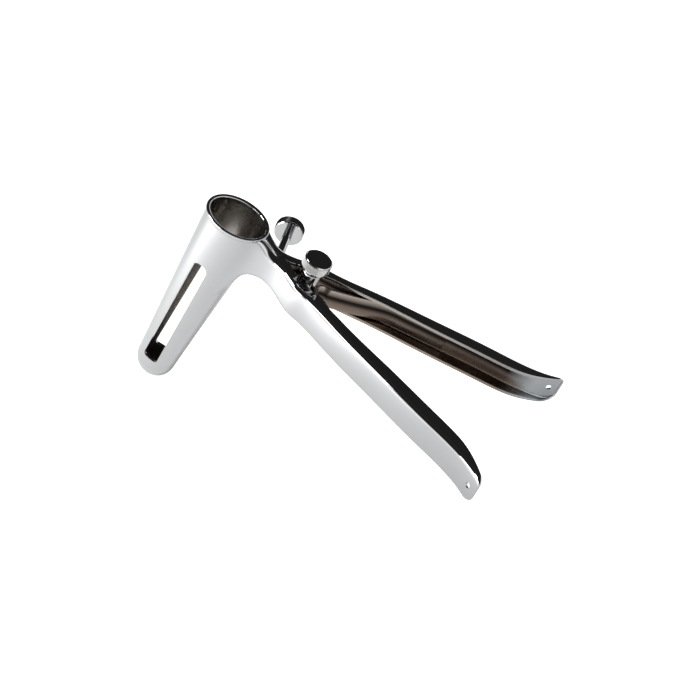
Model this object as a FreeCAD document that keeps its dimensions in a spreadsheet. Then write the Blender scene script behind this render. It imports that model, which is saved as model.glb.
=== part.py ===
import FreeCAD, Part
import math
import os
import Sketcher
from FreeCAD import Placement, Rotation, Vector

# Two-blade speculum in polished steel, millimetres.
# It is drawn in the instrument's own axes: z runs out of the mouth along the blades, x runs from
# the blades to the handles, and y runs from the front half (negative) to the rear half (positive).
# The mouth's edge lies in the plane z = 0. At the end every piece gets one common placement, which
# stands the instrument on its blade tip and its two handle ends.

SIZES = [
    # blades
    ("mouth_half_length", 13.6),
    ("mouth_narrowing", 1.6),
    ("tip_half_length", 8.5),
    ("tip_narrowing", 2.3),
    ("blade_straight", 86.4),
    ("tip_dome", 9.1),
    ("blade_lean", 4.0),
    ("blade_wall", 1.3),
    ("lip_height", 1.7),
    ("lip_overhang", 0.5),
    ("seam_gap", 0.3),
    ("window_top", 23.2),
    ("window_bottom", 84.0),
    ("window_width", 6.8),
    ("window_offset", 1.0),
    ("window_top_round", 3.0),
    ("window_foot_round", 1.4),
    # shoulder, arm and handle
    ("channel_height", 13.9),
    ("channel_top", 4.0),
    ("channel_wall", 1.5),
    ("shoulder_top", 0.9),
    ("shoulder_foot", 31.0),
    ("crotch_depth", 18.2),
    ("neck_start", 16.5),
    ("neck_end", 21.5),
    ("neck_half_width", 4.6),
    ("hinge_distance", 37.1),
    ("bow_ahead", 5.0),
    ("bow_half_width", 12.2),
    ("grip_length", 86.0),
    ("grip_angle", 15.4),
    ("grip_bulge", 0.6),
    ("flare_length", 14.4),
    ("flare_rise", 7.6),
    ("notch_start", 25.2),
    ("barrel_clearance", 1.2),
    ("flange_near", 5.0),
    ("flange_middle", 6.9),
    ("flange_end", 1.7),
    ("end_top_round", 2.6),
    ("end_foot_round", 4.6),
    ("hang_hole_radius", 1.2),
    ("hang_hole_inset", 4.4),
    # hinge
    ("barrel_radius", 4.2),
    ("barrel_rise", 3.6),
    ("running_gap", 0.3),
    ("lug_width", 5.6),
    ("pivot_radius", 2.0),
    ("pivot_fit", 0.05),
    ("pivot_tail", 2.4),
    ("pivot_thread_depth", 3.0),
    ("collar_radius", 4.4),
    ("collar_height", 1.7),
    ("pivot_knob_radius", 6.0),
    ("pivot_knob_height", 4.4),
    # opening screw
    ("screw_place", 21.3),
    ("screw_lean", 14.8),
    ("screw_radius", 1.9),
    ("screw_fit", 0.05),
    ("screw_reach", 19.6),
    ("tip_clearance", 0.3),
    ("bush_radius", 3.2),
    ("bush_height", 2.0),
    ("screw_knob_radius", 6.15),
    ("screw_knob_height", 4.6),
    # knurl on both knobs
    ("knurl_depth", 0.35),
    ("knurl_count", 48),
    ("knob_bevel", 0.4),
    ("rod_bevel", 0.8),
    # spring
    ("spring_thickness", 0.8),
    ("spring_height", 9.4),
    ("spring_bend_radius", 3.6),
    ("spring_reach", 94.0),
    ("spring_landing", 70.0),
    ("spring_seat", 0.3),
]

SHEET = "Sizes"

# How finely the curved forms are drawn: bands down the tube, angles round its domed tip, and
# stations of the lip (share of its height, share of its overhang).
TUBE_BANDS = 8
DOME_ANGLES = (14, 28, 41, 53, 64, 74, 82, 88)
LIP_STATIONS = ((1.0, -0.8), (0.8, 0.7), (0.6, 1.0), (0.3, 1.0), (0.1, 0.75), (0.0, 0.3))
HOLLOW_COUNT = 28
SPRING_COUNT = 61
SPRING_ARC = 0.02
TURN_COUNT = 50

# How far helper shapes reach past the real ones, and how near counts as the same place.
ABOVE_MOUTH = 0.03
PLAN_TOP = 1.0
OUTSIDE = 200.0
NEAR = 0.05

# Shares of the knobs' grooves, the lugs and the spring's bend and legs.
KNURL_SHARE = 0.8
LUG_START = 0.9
BEND_ANGLES = (180, 150, 120, 95)
LEG_SHARES = (0.0, 0.25, 0.5, 0.75, 1.0)

# Proportions of the handle's outer curve in plan: where it starts inside the blade's wall (angle
# and share of the oval), the waist, and the shares along and across the bow, grip and flare.
CURVE_ROOT = ((78.0, 0.93), (47.0, 0.995))
NECK_FALL = 0.15
WAIST_SHARE = 0.45
WAIST_SINK = 0.2
BOW_SHARES = ((0.4, 0.33), (0.75, 0.85))
GRIP_SHARES = (0.0, 0.2, 0.5, 0.8, 1.0)
FLARE_SHARES = ((0.4, 0.3), (0.72, 0.64), (1.0, 1.0))
RIM_NEAR = 0.06
NOTCH_SHARE = 0.52

# Proportions of the shoulder in side view: the level ledge at the mouth, the slope down to the
# channel, and the concave crotch under it.
LEDGE_IN = 1.0
LEDGE_RUN = 0.6
LEDGE_DROP = 0.15
SLOPE_RUN = 1.0
SLOPE_SHARES = (0.55, 0.08)
SLOPE_END = 8.0
CROTCH_RUN = 3.0
CROTCH_RISE = 1.2
CROTCH_LEAN = 0.4
CROTCH_LIFT = 0.5
CROTCH_WALL = 0.9
CROTCH_STEP = 1.5
CROTCH_DROP = 4.6
CROTCH_SINK = 0.2

doc = FreeCAD.newDocument("Speculum")
sheet = doc.addObject("Spreadsheet::Sheet", SHEET)
for row, (alias, number) in enumerate(SIZES, start=1):
    sheet.set("A%d" % row, alias)
    sheet.set("B%d" % row, str(number))
    sheet.setAlias("B%d" % row, alias)
doc.recompute()


def size(alias):
    """The value of one cell of the sheet."""
    return float(sheet.get(alias))


ALIASES = {alias for alias, number in SIZES}


def bind(thing, **expressions):
    """Tie properties of an object to the sheet; an underscore pair stands for a dot."""
    for key, text in expressions.items():
        names = [SHEET + "." + word if word in ALIASES else word for word in text.split()]
        thing.setExpression(key.replace("__", "."), " ".join(names))
    return thing


def computed(name, shape):
    feature = doc.addObject("Part::Feature", name)
    feature.Shape = shape
    return feature


def common(name, first, second):
    both = doc.addObject("Part::Common", name)
    both.Base = first
    both.Tool = second
    return both


def cut(name, base, tool):
    result = doc.addObject("Part::Cut", name)
    result.Base = base
    result.Tool = tool
    return result


# Blades: one whole tube, parted along the seam at the end.

def oval(name, share, thinner, squeeze=1.0):
    """One oval of the tube; share is 0 at the mouth and 1 where the dome begins."""
    ring = doc.addObject("Part::Ellipse", name)
    length = "mouth_half_length + ( tip_half_length - mouth_half_length ) * ( %s )" % share
    slim = "mouth_narrowing + ( tip_narrowing - mouth_narrowing ) * ( %s )" % share
    bind(
        ring,
        MajorRadius="( %s - ( %s ) ) * %r" % (length, thinner, squeeze),
        MinorRadius="( %s - ( %s ) - ( %s ) ) * %r" % (length, slim, thinner, squeeze),
        Placement__Base__x="- blade_lean * ( %s )" % share,
        Placement__Base__z="- blade_straight * ( %s )" % share,
    )
    return ring


def tube(name, thinner, first_share):
    """The solid shape of the tube with its domed tip, thinner all round by the given wall."""
    shares = [first_share] + [(i + 1) / TUBE_BANDS for i in range(TUBE_BANDS)]
    rings = [oval("%sRing%d" % (name, i), repr(share), thinner) for i, share in enumerate(shares)]
    for angle in DOME_ANGLES:
        turn = math.radians(angle)
        share = "1 + ( tip_dome - %s ) * %r / blade_straight" % (thinner, math.sin(turn))
        rings.append(oval("%sDome%d" % (name, angle), share, thinner, math.cos(turn)))
    whole = doc.addObject("Part::Loft", name)
    whole.Sections = rings
    whole.Solid = True
    whole.Ruled = True
    return whole


def rounded_lip():
    """The ring that stands a little proud round the mouth."""
    rings = []
    for i, (depth, proud) in enumerate(LIP_STATIONS):
        ring = doc.addObject("Part::Ellipse", "LipRing%d" % i)
        bind(
            ring,
            MajorRadius="mouth_half_length + lip_overhang * %r" % proud,
            MinorRadius="mouth_half_length - mouth_narrowing + lip_overhang * %r" % proud,
            Placement__Base__z="- lip_height * %r" % depth,
        )
        rings.append(ring)
    lip = doc.addObject("Part::Loft", "Lip")
    lip.Sections = rings
    lip.Solid = True
    lip.Ruled = True
    return lip


def half_space(name):
    """All that lies on the rear side of the seam."""
    space = doc.addObject("Part::Box", name)
    space.Length = OUTSIDE
    space.Width = OUTSIDE
    space.Height = OUTSIDE
    space.Placement.Base = Vector(-OUTSIDE / 2, 0, -OUTSIDE * 3 / 4)
    bind(space, Placement__Base__y="seam_gap / 2")
    return space


def mirrored(name, source):
    """The same shape on the other side of the seam."""
    twin = doc.addObject("Part::Mirroring", name)
    twin.Source = source
    twin.Normal = Vector(0, 1, 0)
    return twin


def turned_copy(name, source):
    """The same shape where it is drawn, as a piece that can be placed by itself."""
    copy = doc.addObject("Part::Compound", name)
    copy.Links = [source]
    return copy


def blades():
    """The outside of both blades together, and each half blade."""
    lipped = doc.addObject("Part::Fuse", "LippedTube")
    lipped.Base = tube("BladeOutside", "0", 0.0)
    lipped.Tool = rounded_lip()
    hollow = cut("HollowTube", lipped, tube("BladeInside", "blade_wall", -ABOVE_MOUTH))
    half_tube = common("HalfTube", hollow, half_space("RearSpace"))
    half = cut("HalfBlade", half_tube, window_cutter())
    rear = turned_copy("rear_blade", half)
    front = mirrored("front_blade", half)
    return lipped, rear, front


def window_cutter():
    """A long rounded bar across both blades, leaning as they do."""
    bar = doc.addObject("Part::Box", "WindowBar")
    bind(bar, Length="window_width", Height="window_bottom - window_top")
    bar.Width = OUTSIDE
    doc.recompute()
    rounded = doc.addObject("Part::Fillet", "WindowRounded")
    rounded.Base = bar
    top = []
    foot = []
    for i, edge in enumerate(bar.Shape.Edges, start=1):
        across = abs(edge.tangentAt(edge.FirstParameter).y) > 0.9
        if across and edge.CenterOfMass.z > bar.Shape.CenterOfMass.z:
            top.append(i)
        elif across:
            foot.append(i)
    rounds = [(i, size("window_top_round")) for i in top] + [(i, size("window_foot_round")) for i in foot]
    rounded.Edges = [(i, r, r) for i, r in rounds]
    lean = math.degrees(math.atan2(size("blade_lean"), size("blade_straight")))
    foot_x = -size("window_offset") - size("blade_lean") * size("window_bottom") / size("blade_straight")
    turn = Rotation(Vector(0, 1, 0), lean)
    corner = Vector(foot_x, -OUTSIDE / 2, -size("window_bottom"))
    centred = Placement(Vector(-size("window_width") / 2, 0, 0), Rotation())
    rounded.Placement = Placement(corner, turn) * centred
    return rounded


# Shoulder, arm and handle: a shell drawn by its plan, front side and wall.

def oval_at(depth):
    """Half length, half width and centre of the blade's oval at a depth below the mouth."""
    share = depth / size("blade_straight")
    half_length = size("mouth_half_length") + (size("tip_half_length") - size("mouth_half_length")) * share
    slim = size("mouth_narrowing") + (size("tip_narrowing") - size("mouth_narrowing")) * share
    return half_length, half_length - slim, -size("blade_lean") * share


def bow_x():
    return size("hinge_distance") + size("bow_ahead")


def grip_point(share):
    """A point on the handle's outer curve; share is 0 at the bow and 1 where the flare starts."""
    along = size("grip_length") * share
    bulge = size("grip_bulge") * 4 * share * (1 - share)
    rise = math.tan(math.radians(size("grip_angle")))
    return Vector(bow_x() + along, size("bow_half_width") + along * rise + bulge, 0)


def outer_points(depth):
    """The handle's outer curve in plan, from inside the blade to the handle's end."""
    half_length, half_width, centre = oval_at(depth)
    neck = size("neck_half_width")
    points = []
    for angle, inward in CURVE_ROOT:
        turn = math.radians(angle)
        x = centre + half_length * inward * math.cos(turn)
        points.append(Vector(x, half_width * inward * math.sin(turn), 0))
    start = Vector(size("neck_start"), neck + NECK_FALL, 0)
    middle = points[-1] * (1 - WAIST_SHARE) + start * WAIST_SHARE
    middle.y -= WAIST_SINK * (points[-1].y - neck)
    points += [middle, start, Vector(size("neck_end"), neck, 0)]
    rise = size("bow_half_width") - neck
    run = bow_x() - size("neck_end")
    for along, up in BOW_SHARES:
        points.append(Vector(size("neck_end") + along * run, neck + up * rise, 0))
    points += [grip_point(share) for share in GRIP_SHARES]
    foot = grip_point(1.0)
    for along, up in FLARE_SHARES:
        points.append(foot + Vector(size("flare_length") * along, size("flare_rise") * up, 0))
    return points


def spline(points):
    curve = Part.BSplineCurve()
    curve.interpolate(points)
    return curve


def offset_points(points, distance, count):
    """Points beside a smooth curve, on the side of smaller y."""
    curve = spline(points)
    result = []
    for i in range(count):
        u = curve.FirstParameter + (curve.LastParameter - curve.FirstParameter) * i / (count - 1)
        tangent = curve.tangent(u)[0]
        result.append(curve.value(u) + Vector(tangent.y, -tangent.x, 0) * distance)
    return result


def rim_points():
    """The free edge of the flanges in plan, from the notch between the arms to the end."""
    end = grip_point(1.0) + Vector(size("flare_length"), size("flare_rise"), 0)
    hinge = size("hinge_distance")
    clear = size("barrel_radius") + size("barrel_clearance")
    near = grip_point(RIM_NEAR)
    middle = grip_point(0.5)
    far = grip_point(1.0)
    return [
        Vector(size("notch_start"), size("seam_gap") / 2, 0),
        Vector((size("notch_start") + hinge) / 2, clear * NOTCH_SHARE, 0),
        Vector(hinge, clear, 0),
        Vector(near.x, near.y - size("flange_near"), 0),
        Vector(middle.x, middle.y - size("flange_middle"), 0),
        Vector(far.x, far.y - size("flange_middle"), 0),
        Vector(end.x, end.y - size("flange_end"), 0),
    ]


def level(points, height):
    return [Vector(p.x, p.y, height) for p in points]


def plan_wire(depth, height):
    """The closed plan of the solid handle at one height."""
    outer = level(outer_points(depth), height)
    rim = level(rim_points(), height)
    seam = Vector(outer[0].x, size("seam_gap") / 2, height)
    edges = [
        spline(outer).toShape(),
        Part.makeLine(outer[-1], rim[-1]),
        spline(rim).toShape(),
        Part.makeLine(rim[0], seam),
        Part.makeLine(seam, outer[0]),
    ]
    return Part.Wire(Part.__sortEdges__(edges))


def hollow_wire(depth, height, gap):
    """The closed plan of the space inside the wall, open past the flanges' edge."""
    beside = offset_points(outer_points(depth), size("channel_wall") + gap, HOLLOW_COUNT)
    inside = level(beside, height)
    beyond = inside[-1] + (inside[-1] - inside[-2]).normalize() * size("channel_height")
    low = -size("channel_height")
    edges = [
        spline(inside).toShape(),
        Part.makeLine(inside[-1], beyond),
        Part.makeLine(beyond, Vector(beyond.x, low, height)),
        Part.makeLine(Vector(beyond.x, low, height), Vector(inside[0].x, low, height)),
        Part.makeLine(Vector(inside[0].x, low, height), inside[0]),
    ]
    return Part.Wire(Part.__sortEdges__(edges))


def side_face(wall, end_x, rounded):
    """The side view of the handle: sloping shoulder, straight channel, concave foot."""
    top = -size("channel_top") - wall
    foot = -size("channel_top") - size("channel_height") + wall
    left = outer_points(size("shoulder_foot"))[0].x - wall
    neck_start = size("neck_start")
    neck_end = size("neck_end")
    half_length, half_width, centre = oval_at(size("shoulder_foot"))
    ledge = Vector(size("mouth_half_length") - LEDGE_IN, 0, -size("shoulder_top") - wall)
    slope = size("channel_top") - size("shoulder_top")
    upper_end = Vector(size("hinge_distance") - SLOPE_END, 0, top)
    upper = spline([
        ledge,
        Vector(size("mouth_half_length") + LEDGE_RUN, 0, ledge.z - LEDGE_DROP),
        Vector(neck_start + SLOPE_RUN, 0, top + SLOPE_SHARES[0] * slope),
        Vector(neck_end + SLOPE_RUN, 0, top + SLOPE_SHARES[1] * slope),
        upper_end,
    ])
    hinge = Vector(size("hinge_distance"), 0, foot)
    blade_side = half_length + centre + wall
    crotch = -size("crotch_depth")
    lower_end = Vector(blade_side - CROTCH_SINK, 0, -size("shoulder_foot"))
    lower = spline([
        hinge,
        Vector(neck_end + CROTCH_RUN, 0, foot + CROTCH_RISE),
        Vector(neck_start + wall * CROTCH_LEAN, 0, crotch + CROTCH_LIFT + wall * CROTCH_WALL),
        Vector(blade_side + CROTCH_STEP, 0, crotch - CROTCH_DROP),
        lower_end,
    ])
    inner_corner = Vector(left, 0, -size("shoulder_foot"))
    upper_corner = Vector(left, 0, ledge.z)
    edges = [upper.toShape(), lower.toShape()]
    if rounded:
        edges += rounded_end(upper_end, hinge, end_x, size("end_top_round"), size("end_foot_round"))
    else:
        end_top = Vector(end_x, 0, top)
        end_foot = Vector(end_x, 0, foot)
        edges += [
            Part.makeLine(upper_end, end_top),
            Part.makeLine(end_top, end_foot),
            Part.makeLine(end_foot, hinge),
        ]
    edges += [
        Part.makeLine(lower_end, inner_corner),
        Part.makeLine(inner_corner, upper_corner),
        Part.makeLine(upper_corner, ledge),
    ]
    return Part.Face(Part.Wire(Part.__sortEdges__(edges)))


def rounded_end(upper_end, hinge, end_x, top_round, foot_round):
    """Edges of the side view from the top line round the handle's end to the foot line."""
    top = upper_end.z
    foot = hinge.z
    top_in = Vector(end_x - top_round, 0, top)
    top_out = Vector(end_x, 0, top - top_round)
    foot_out = Vector(end_x, 0, foot + foot_round)
    foot_in = Vector(end_x - foot_round, 0, foot)
    half_turn = math.sqrt(0.5)
    top_centre = Vector(end_x - top_round, 0, top - top_round)
    top_middle = top_centre + Vector(half_turn, 0, half_turn) * top_round
    foot_centre = Vector(end_x - foot_round, 0, foot + foot_round)
    foot_middle = foot_centre + Vector(half_turn, 0, -half_turn) * foot_round
    return [
        Part.makeLine(upper_end, top_in),
        Part.Arc(top_in, top_middle, top_out).toShape(),
        Part.makeLine(top_out, foot_out),
        Part.Arc(foot_out, foot_middle, foot_in).toShape(),
        Part.makeLine(foot_in, hinge),
    ]


def handle_hollow(name, gap):
    """The space inside the handle's walls, kept off them by a gap."""
    low = size("shoulder_foot") + size("channel_wall")
    plan = Part.makeLoft([hollow_wire(0.0, PLAN_TOP, gap), hollow_wire(low, -low, gap)], True, True)
    beyond_end = outer_points(0.0)[-1].x + size("channel_height")
    side = side_face(size("channel_wall") + gap, beyond_end, False).extrude(Vector(0, OUTSIDE, 0))
    side.translate(Vector(0, -OUTSIDE / 2, 0))
    return common(name, computed(name + "Plan", plan), computed(name + "Side", side))


def handles(blade_outside):
    """The rear handle with its bush hole, and the front handle."""
    low = size("shoulder_foot") + size("channel_wall")
    end_x = outer_points(0.0)[-1].x
    plan = Part.makeLoft([plan_wire(0.0, PLAN_TOP), plan_wire(low, -low)], True, True)
    side = side_face(0.0, end_x, True).extrude(Vector(0, OUTSIDE, 0))
    solid = common("HandleSolid", computed("HandlePlan", plan), computed("HandleSide", side))
    shell = cut("HandleShell", solid, handle_hollow("HandleHollow", 0.0))
    seated = cut("HandleSeated", shell, blade_outside)
    hang = cutter_along("HangHole", hang_point(), hang_axis(), "hang_hole_radius")
    drawn = cut("HandleDrawn", seated, hang)
    bore = cutter_along("BushBore", screw_point(), screw_axis(), "bush_radius + screw_fit")
    rear = cut("rear_handle", drawn, bore)
    front = mirrored("front_handle", drawn)
    return rear, front


def curve_at(x):
    """The point and the tangent of the handle's outer curve at one x."""
    curve = spline(outer_points(0.0))
    low = curve.FirstParameter
    high = curve.LastParameter
    for step in range(40):
        middle = (low + high) / 2
        if curve.value(middle).x < x:
            low = middle
        else:
            high = middle
    return curve.value(low), curve.tangent(low)[0]


def mid_channel():
    return -size("channel_top") - size("channel_height") / 2


def hang_point():
    end = outer_points(0.0)[-1]
    point = curve_at(end.x - size("hang_hole_inset"))[0]
    return Vector(point.x, point.y, mid_channel())


def hang_axis():
    tangent = curve_at(hang_point().x)[1]
    return Vector(-tangent.y, tangent.x, 0)


def screw_point():
    point = curve_at(size("screw_place"))[0]
    return Vector(point.x, point.y, mid_channel())


def screw_axis():
    lean = math.radians(size("screw_lean"))
    return Vector(-math.sin(lean), math.cos(lean), 0)


def screw_tip_distance():
    """How far the screw's tip lies inside the rear arm's outer face, along the screw."""
    span = 2 * screw_point().y - size("channel_wall") - size("tip_clearance")
    return span / math.cos(math.radians(size("screw_lean")))


def cutter_along(name, point, axis, radius):
    """A round cutter through one wall, square to it."""
    rod = doc.addObject("Part::Cylinder", name)
    reach = 3 * size("channel_wall")
    bind(rod, Radius=radius)
    rod.Height = 2 * reach
    rod.Placement = Placement(point - axis * reach, Rotation(Vector(0, 0, 1), axis))
    return rod


# Round pieces and knuckles: bodies with sketches.

def new_body(name):
    body = doc.addObject("PartDesign::Body", name)
    body.Label = name
    return body


def new_sketch(body, name, height):
    """A sketch on the body's own level plane, at a height above it."""
    plane = [p for p in body.Origin.OriginFeatures if p.Role == "XY_Plane"][0]
    sketch = body.newObject("Sketcher::SketchObject", name)
    sketch.AttachmentSupport = [(plane, "")]
    sketch.MapMode = "FlatFace"
    sketch.AttachmentOffset = Placement(Vector(0, 0, height), Rotation())
    return sketch


def add_circle(sketch, radius):
    """A circle about the body's own axis, its radius tied to the sheet."""
    circle = sketch.addGeometry(Part.Circle(Vector(0, 0, 0), Vector(0, 0, 1), 1.0))
    sketch.addConstraint(Sketcher.Constraint("Coincident", circle, 3, -1, 1))
    index = sketch.addConstraint(Sketcher.Constraint("Radius", circle, 1.0))
    bind(sketch, **{"Constraints[%d]" % index: radius})


def pad(body, sketch, name, length):
    feature = body.newObject("PartDesign::Pad", name)
    feature.Profile = sketch
    bind(feature, Length=length)
    return feature


def disc(body, name, radius, length, height=0.0, bore=None):
    """A round pad, with a bore through it where one is named."""
    sketch = new_sketch(body, name + "Sketch", height)
    add_circle(sketch, radius)
    if bore:
        add_circle(sketch, bore)
    return pad(body, sketch, name, length)


def circle_edges(shape, height, radius):
    """Names of the full circles of one radius at one height."""
    names = []
    for i, edge in enumerate(shape.Edges, start=1):
        round_edge = isinstance(edge.Curve, Part.Circle)
        if round_edge and abs(edge.Curve.Radius - radius) < NEAR and abs(edge.CenterOfMass.z - height) < NEAR:
            names.append("Edge%d" % i)
    return names


def bevel(body, feature, name, heights, radius, amount):
    """A chamfer round the given circles of a feature."""
    doc.recompute()
    edges = []
    for height in heights:
        edges += circle_edges(feature.Shape, height, radius)
    result = body.newObject("PartDesign::Chamfer", name)
    result.Base = (feature, edges)
    bind(result, Size=amount)
    return result


def knurl(body, name, radius, height):
    """Straight grooves round a knob."""
    sketch = new_sketch(body, name + "Groove", 0.0)
    reach = size(radius)
    half = math.pi * reach / size("knurl_count") * KNURL_SHARE
    corners = [
        Vector(reach - size("knurl_depth"), 0, 0),
        Vector(reach + size("knurl_depth"), -2 * half, 0),
        Vector(reach + size("knurl_depth"), 2 * half, 0),
    ]
    for i in range(3):
        sketch.addGeometry(Part.LineSegment(corners[i], corners[(i + 1) % 3]))
        sketch.addConstraint(Sketcher.Constraint("Block", i))
    groove = body.newObject("PartDesign::Pocket", name + "Cut")
    groove.Profile = sketch
    groove.Reversed = True
    bind(groove, Length=height)
    pattern = body.newObject("PartDesign::PolarPattern", name)
    axis = [p for p in body.Origin.OriginFeatures if p.Role == "Z_Axis"][0]
    pattern.Originals = [groove]
    pattern.Axis = (axis, [""])
    pattern.Angle = 360
    bind(pattern, Occurrences="knurl_count")
    body.Tip = pattern
    return pattern


def knob(name, radius, height, bore_radius, bore_depth):
    """A knurled knob that stands on its own origin, bored from below for its shank."""
    body = new_body(name)
    blank = disc(body, name + "Blank", radius, height)
    bevel(body, blank, name + "Bevel", (0.0, size(height)), size(radius), "knob_bevel")
    sketch = new_sketch(body, name + "BoreSketch", 0.0)
    add_circle(sketch, bore_radius)
    bore = body.newObject("PartDesign::Pocket", name + "Bore")
    bore.Profile = sketch
    bore.Reversed = True
    bind(bore, Length=bore_depth)
    knurl(body, name + "Knurl", radius, height)
    return body


def rod(name, radius, length):
    """A plain round rod with a bevelled foot."""
    body = new_body(name)
    sketch = new_sketch(body, name + "Sketch", 0.0)
    add_circle(sketch, radius)
    blank = body.newObject("PartDesign::Pad", name + "Pad")
    blank.Profile = sketch
    blank.Length = length
    bevel(body, blank, name + "End", (0.0,), size(radius), "rod_bevel")
    return body


def knuckle(name, foot, top, lug_foot, lug_top, side, space):
    """One hinge knuckle with the lug that joins it to its handle."""
    body = new_body(name + "_blank")
    disc(body, name + "Barrel", "barrel_radius", "%r" % (top - foot), foot, "pivot_radius + pivot_fit")
    doc.recompute()
    lug = new_sketch(body, name + "LugSketch", lug_foot)
    near = side * (size("pivot_radius") + size("barrel_radius")) / 2 * LUG_START
    far = side * size("bow_half_width")
    half = size("lug_width") / 2
    corners = [Vector(-half, near, 0), Vector(half, near, 0), Vector(half, far, 0), Vector(-half, far, 0)]
    for i in range(4):
        lug.addGeometry(Part.LineSegment(corners[i], corners[(i + 1) % 4]))
        lug.addConstraint(Sketcher.Constraint("Block", i))
    pad(body, lug, name + "Lug", "%r" % (lug_top - lug_foot))
    body.Placement = Placement(Vector(size("hinge_distance"), 0, 0), Rotation())
    return common(name, body, space)


def knuckles():
    """Three knuckles share the height between the flanges; the top one also stands above it."""
    gap = size("running_gap")
    top = -size("channel_top") - size("channel_wall") - gap
    foot = -size("channel_top") - size("channel_height") + size("channel_wall") + gap
    each = (top - foot - 2 * gap) / 3
    rear_seat = handle_hollow("RearLugSpace", gap)
    barrel_space = doc.addObject("Part::Cylinder", "BarrelSpace")
    bind(barrel_space, Radius="barrel_radius + running_gap", Placement__Base__x="hinge_distance")
    barrel_space.Height = OUTSIDE
    barrel_space.Placement.Base.z = -OUTSIDE / 2
    rear_space = doc.addObject("Part::Fuse", "RearKnuckleSpace")
    rear_space.Base = rear_seat
    rear_space.Tool = barrel_space
    front_space = mirrored("FrontKnuckleSpace", rear_space)
    barrel_top = -size("channel_top") + size("barrel_rise")
    pieces = [
        knuckle("front_upper_knuckle", top - each, barrel_top, top - each, top, -1, front_space),
        knuckle("rear_knuckle", foot + each + gap, foot + 2 * each + gap, foot + each + gap,
                foot + 2 * each + gap, 1, rear_space),
        knuckle("front_lower_knuckle", foot, foot + each, foot, foot + each, -1, front_space),
    ]
    return pieces


def pivot_screw():
    """Shank, collar and knob of the screw that holds the two halves together."""
    barrel_top = -size("channel_top") + size("barrel_rise")
    collar_foot = barrel_top + size("running_gap")
    collar_top = collar_foot + size("collar_height")
    shank_foot = -size("channel_top") - size("channel_height") + size("channel_wall") - size("pivot_tail")
    shank_top = collar_top + size("pivot_thread_depth") - size("running_gap")
    hinge = Vector(size("hinge_distance"), 0, 0)
    shank = rod("pivot_screw_shank", "pivot_radius", shank_top - shank_foot)
    shank.Placement.Base = hinge + Vector(0, 0, shank_foot)
    collar = new_body("pivot_screw_collar")
    disc(collar, "CollarRing", "collar_radius", "collar_height", 0.0, "pivot_radius + pivot_fit")
    collar.Placement.Base = hinge + Vector(0, 0, collar_foot)
    head = knob("pivot_screw_knob", "pivot_knob_radius", "pivot_knob_height", "pivot_radius + pivot_fit",
                "pivot_thread_depth")
    head.Placement.Base = hinge + Vector(0, 0, collar_top)
    return [shank, collar, head]


def opening_screw():
    """The long screw through the rear arm, its bush and its knob."""
    axis = screw_axis()
    along = Rotation(Vector(0, 0, 1), axis)
    start = screw_point()
    tip = screw_tip_distance()
    inside = size("pivot_thread_depth") - size("running_gap")
    shank = rod("opening_screw_shank", "screw_radius", tip + size("screw_reach") + inside)
    shank.Placement = Placement(start - axis * tip, along)
    bush = new_body("screw_bush")
    disc(bush, "BushRing", "bush_radius", "bush_height + channel_wall", 0.0, "screw_radius + screw_fit")
    bush.Placement = Placement(start - axis * size("channel_wall"), along)
    head = knob("opening_screw_knob", "screw_knob_radius", "screw_knob_height", "screw_radius + screw_fit",
                "pivot_thread_depth")
    head.Placement = Placement(start + axis * size("screw_reach"), along)
    return [shank, bush, head]


def hairpin_spring():
    """A flat strip bent round the hinge, its legs lying along both handles."""
    radius = size("spring_bend_radius")
    half = size("spring_thickness") / 2
    bend_x = size("hinge_distance") + size("barrel_radius") + size("spring_seat") + half + radius
    beside = size("channel_wall") + size("spring_seat") + half
    leg = []
    for share in LEG_SHARES:
        x = size("spring_landing") + (size("spring_reach") - size("spring_landing")) * share
        point, tangent = curve_at(x)
        leg.append(point + Vector(tangent.y, -tangent.x, 0) * beside)
    bend = []
    for angle in BEND_ANGLES:
        turn = math.radians(angle)
        bend.append(Vector(bend_x + radius * math.cos(turn), radius * math.sin(turn), 0))
    halfway = bend[-1] * 0.5 + leg[0] * 0.5
    upper = bend + [halfway] + leg
    lower = [Vector(p.x, -p.y, 0) for p in reversed(upper[1:])]
    path = lower + upper
    outside = offset_points(path, half, SPRING_COUNT)
    inside = offset_points(path, -half, SPRING_COUNT)
    edges = [arc.toShape() for arc in spline(outside).toBiArcs(SPRING_ARC)]
    edges += [arc.toShape() for arc in spline(inside).toBiArcs(SPRING_ARC)]
    edges += [
        Part.makeLine(outside[-1], inside[-1]),
        Part.makeLine(inside[0], outside[0]),
    ]
    face = Part.Face(Part.Wire(Part.__sortEdges__(edges)))
    strip = doc.addObject("Part::Extrusion", "hairpin_spring")
    strip.Base = computed("SpringPlan", face)
    strip.DirMode = "Custom"
    strip.Dir = Vector(0, 0, 1)
    strip.Solid = True
    bind(strip, LengthFwd="spring_height")
    strip.Placement.Base.z = mid_channel() - size("spring_height") / 2
    return strip


def standing_turn():
    """The turn about y that brings the blade tip and the handle ends onto one level."""
    dome = Vector(-size("blade_lean"), 0, -size("blade_straight"))
    end_x = outer_points(0.0)[-1].x
    foot_round = size("end_foot_round")
    foot = -size("channel_top") - size("channel_height")
    corner = Vector(end_x - foot_round, 0, foot + foot_round)

    def drop(angle):
        turn = math.radians(angle)
        down = Vector(math.sin(turn), 0, -math.cos(turn))
        dome_reach = math.hypot(size("tip_half_length") * math.sin(turn), size("tip_dome") * math.cos(turn))
        return (down.dot(dome) + dome_reach) - (down.dot(corner) + foot_round)

    low = 0.0
    high = 60.0
    for step in range(TURN_COUNT):
        middle = (low + high) / 2
        if drop(middle) > 0:
            low = middle
        else:
            high = middle
    return Rotation(Vector(0, 1, 0), low)


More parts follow.
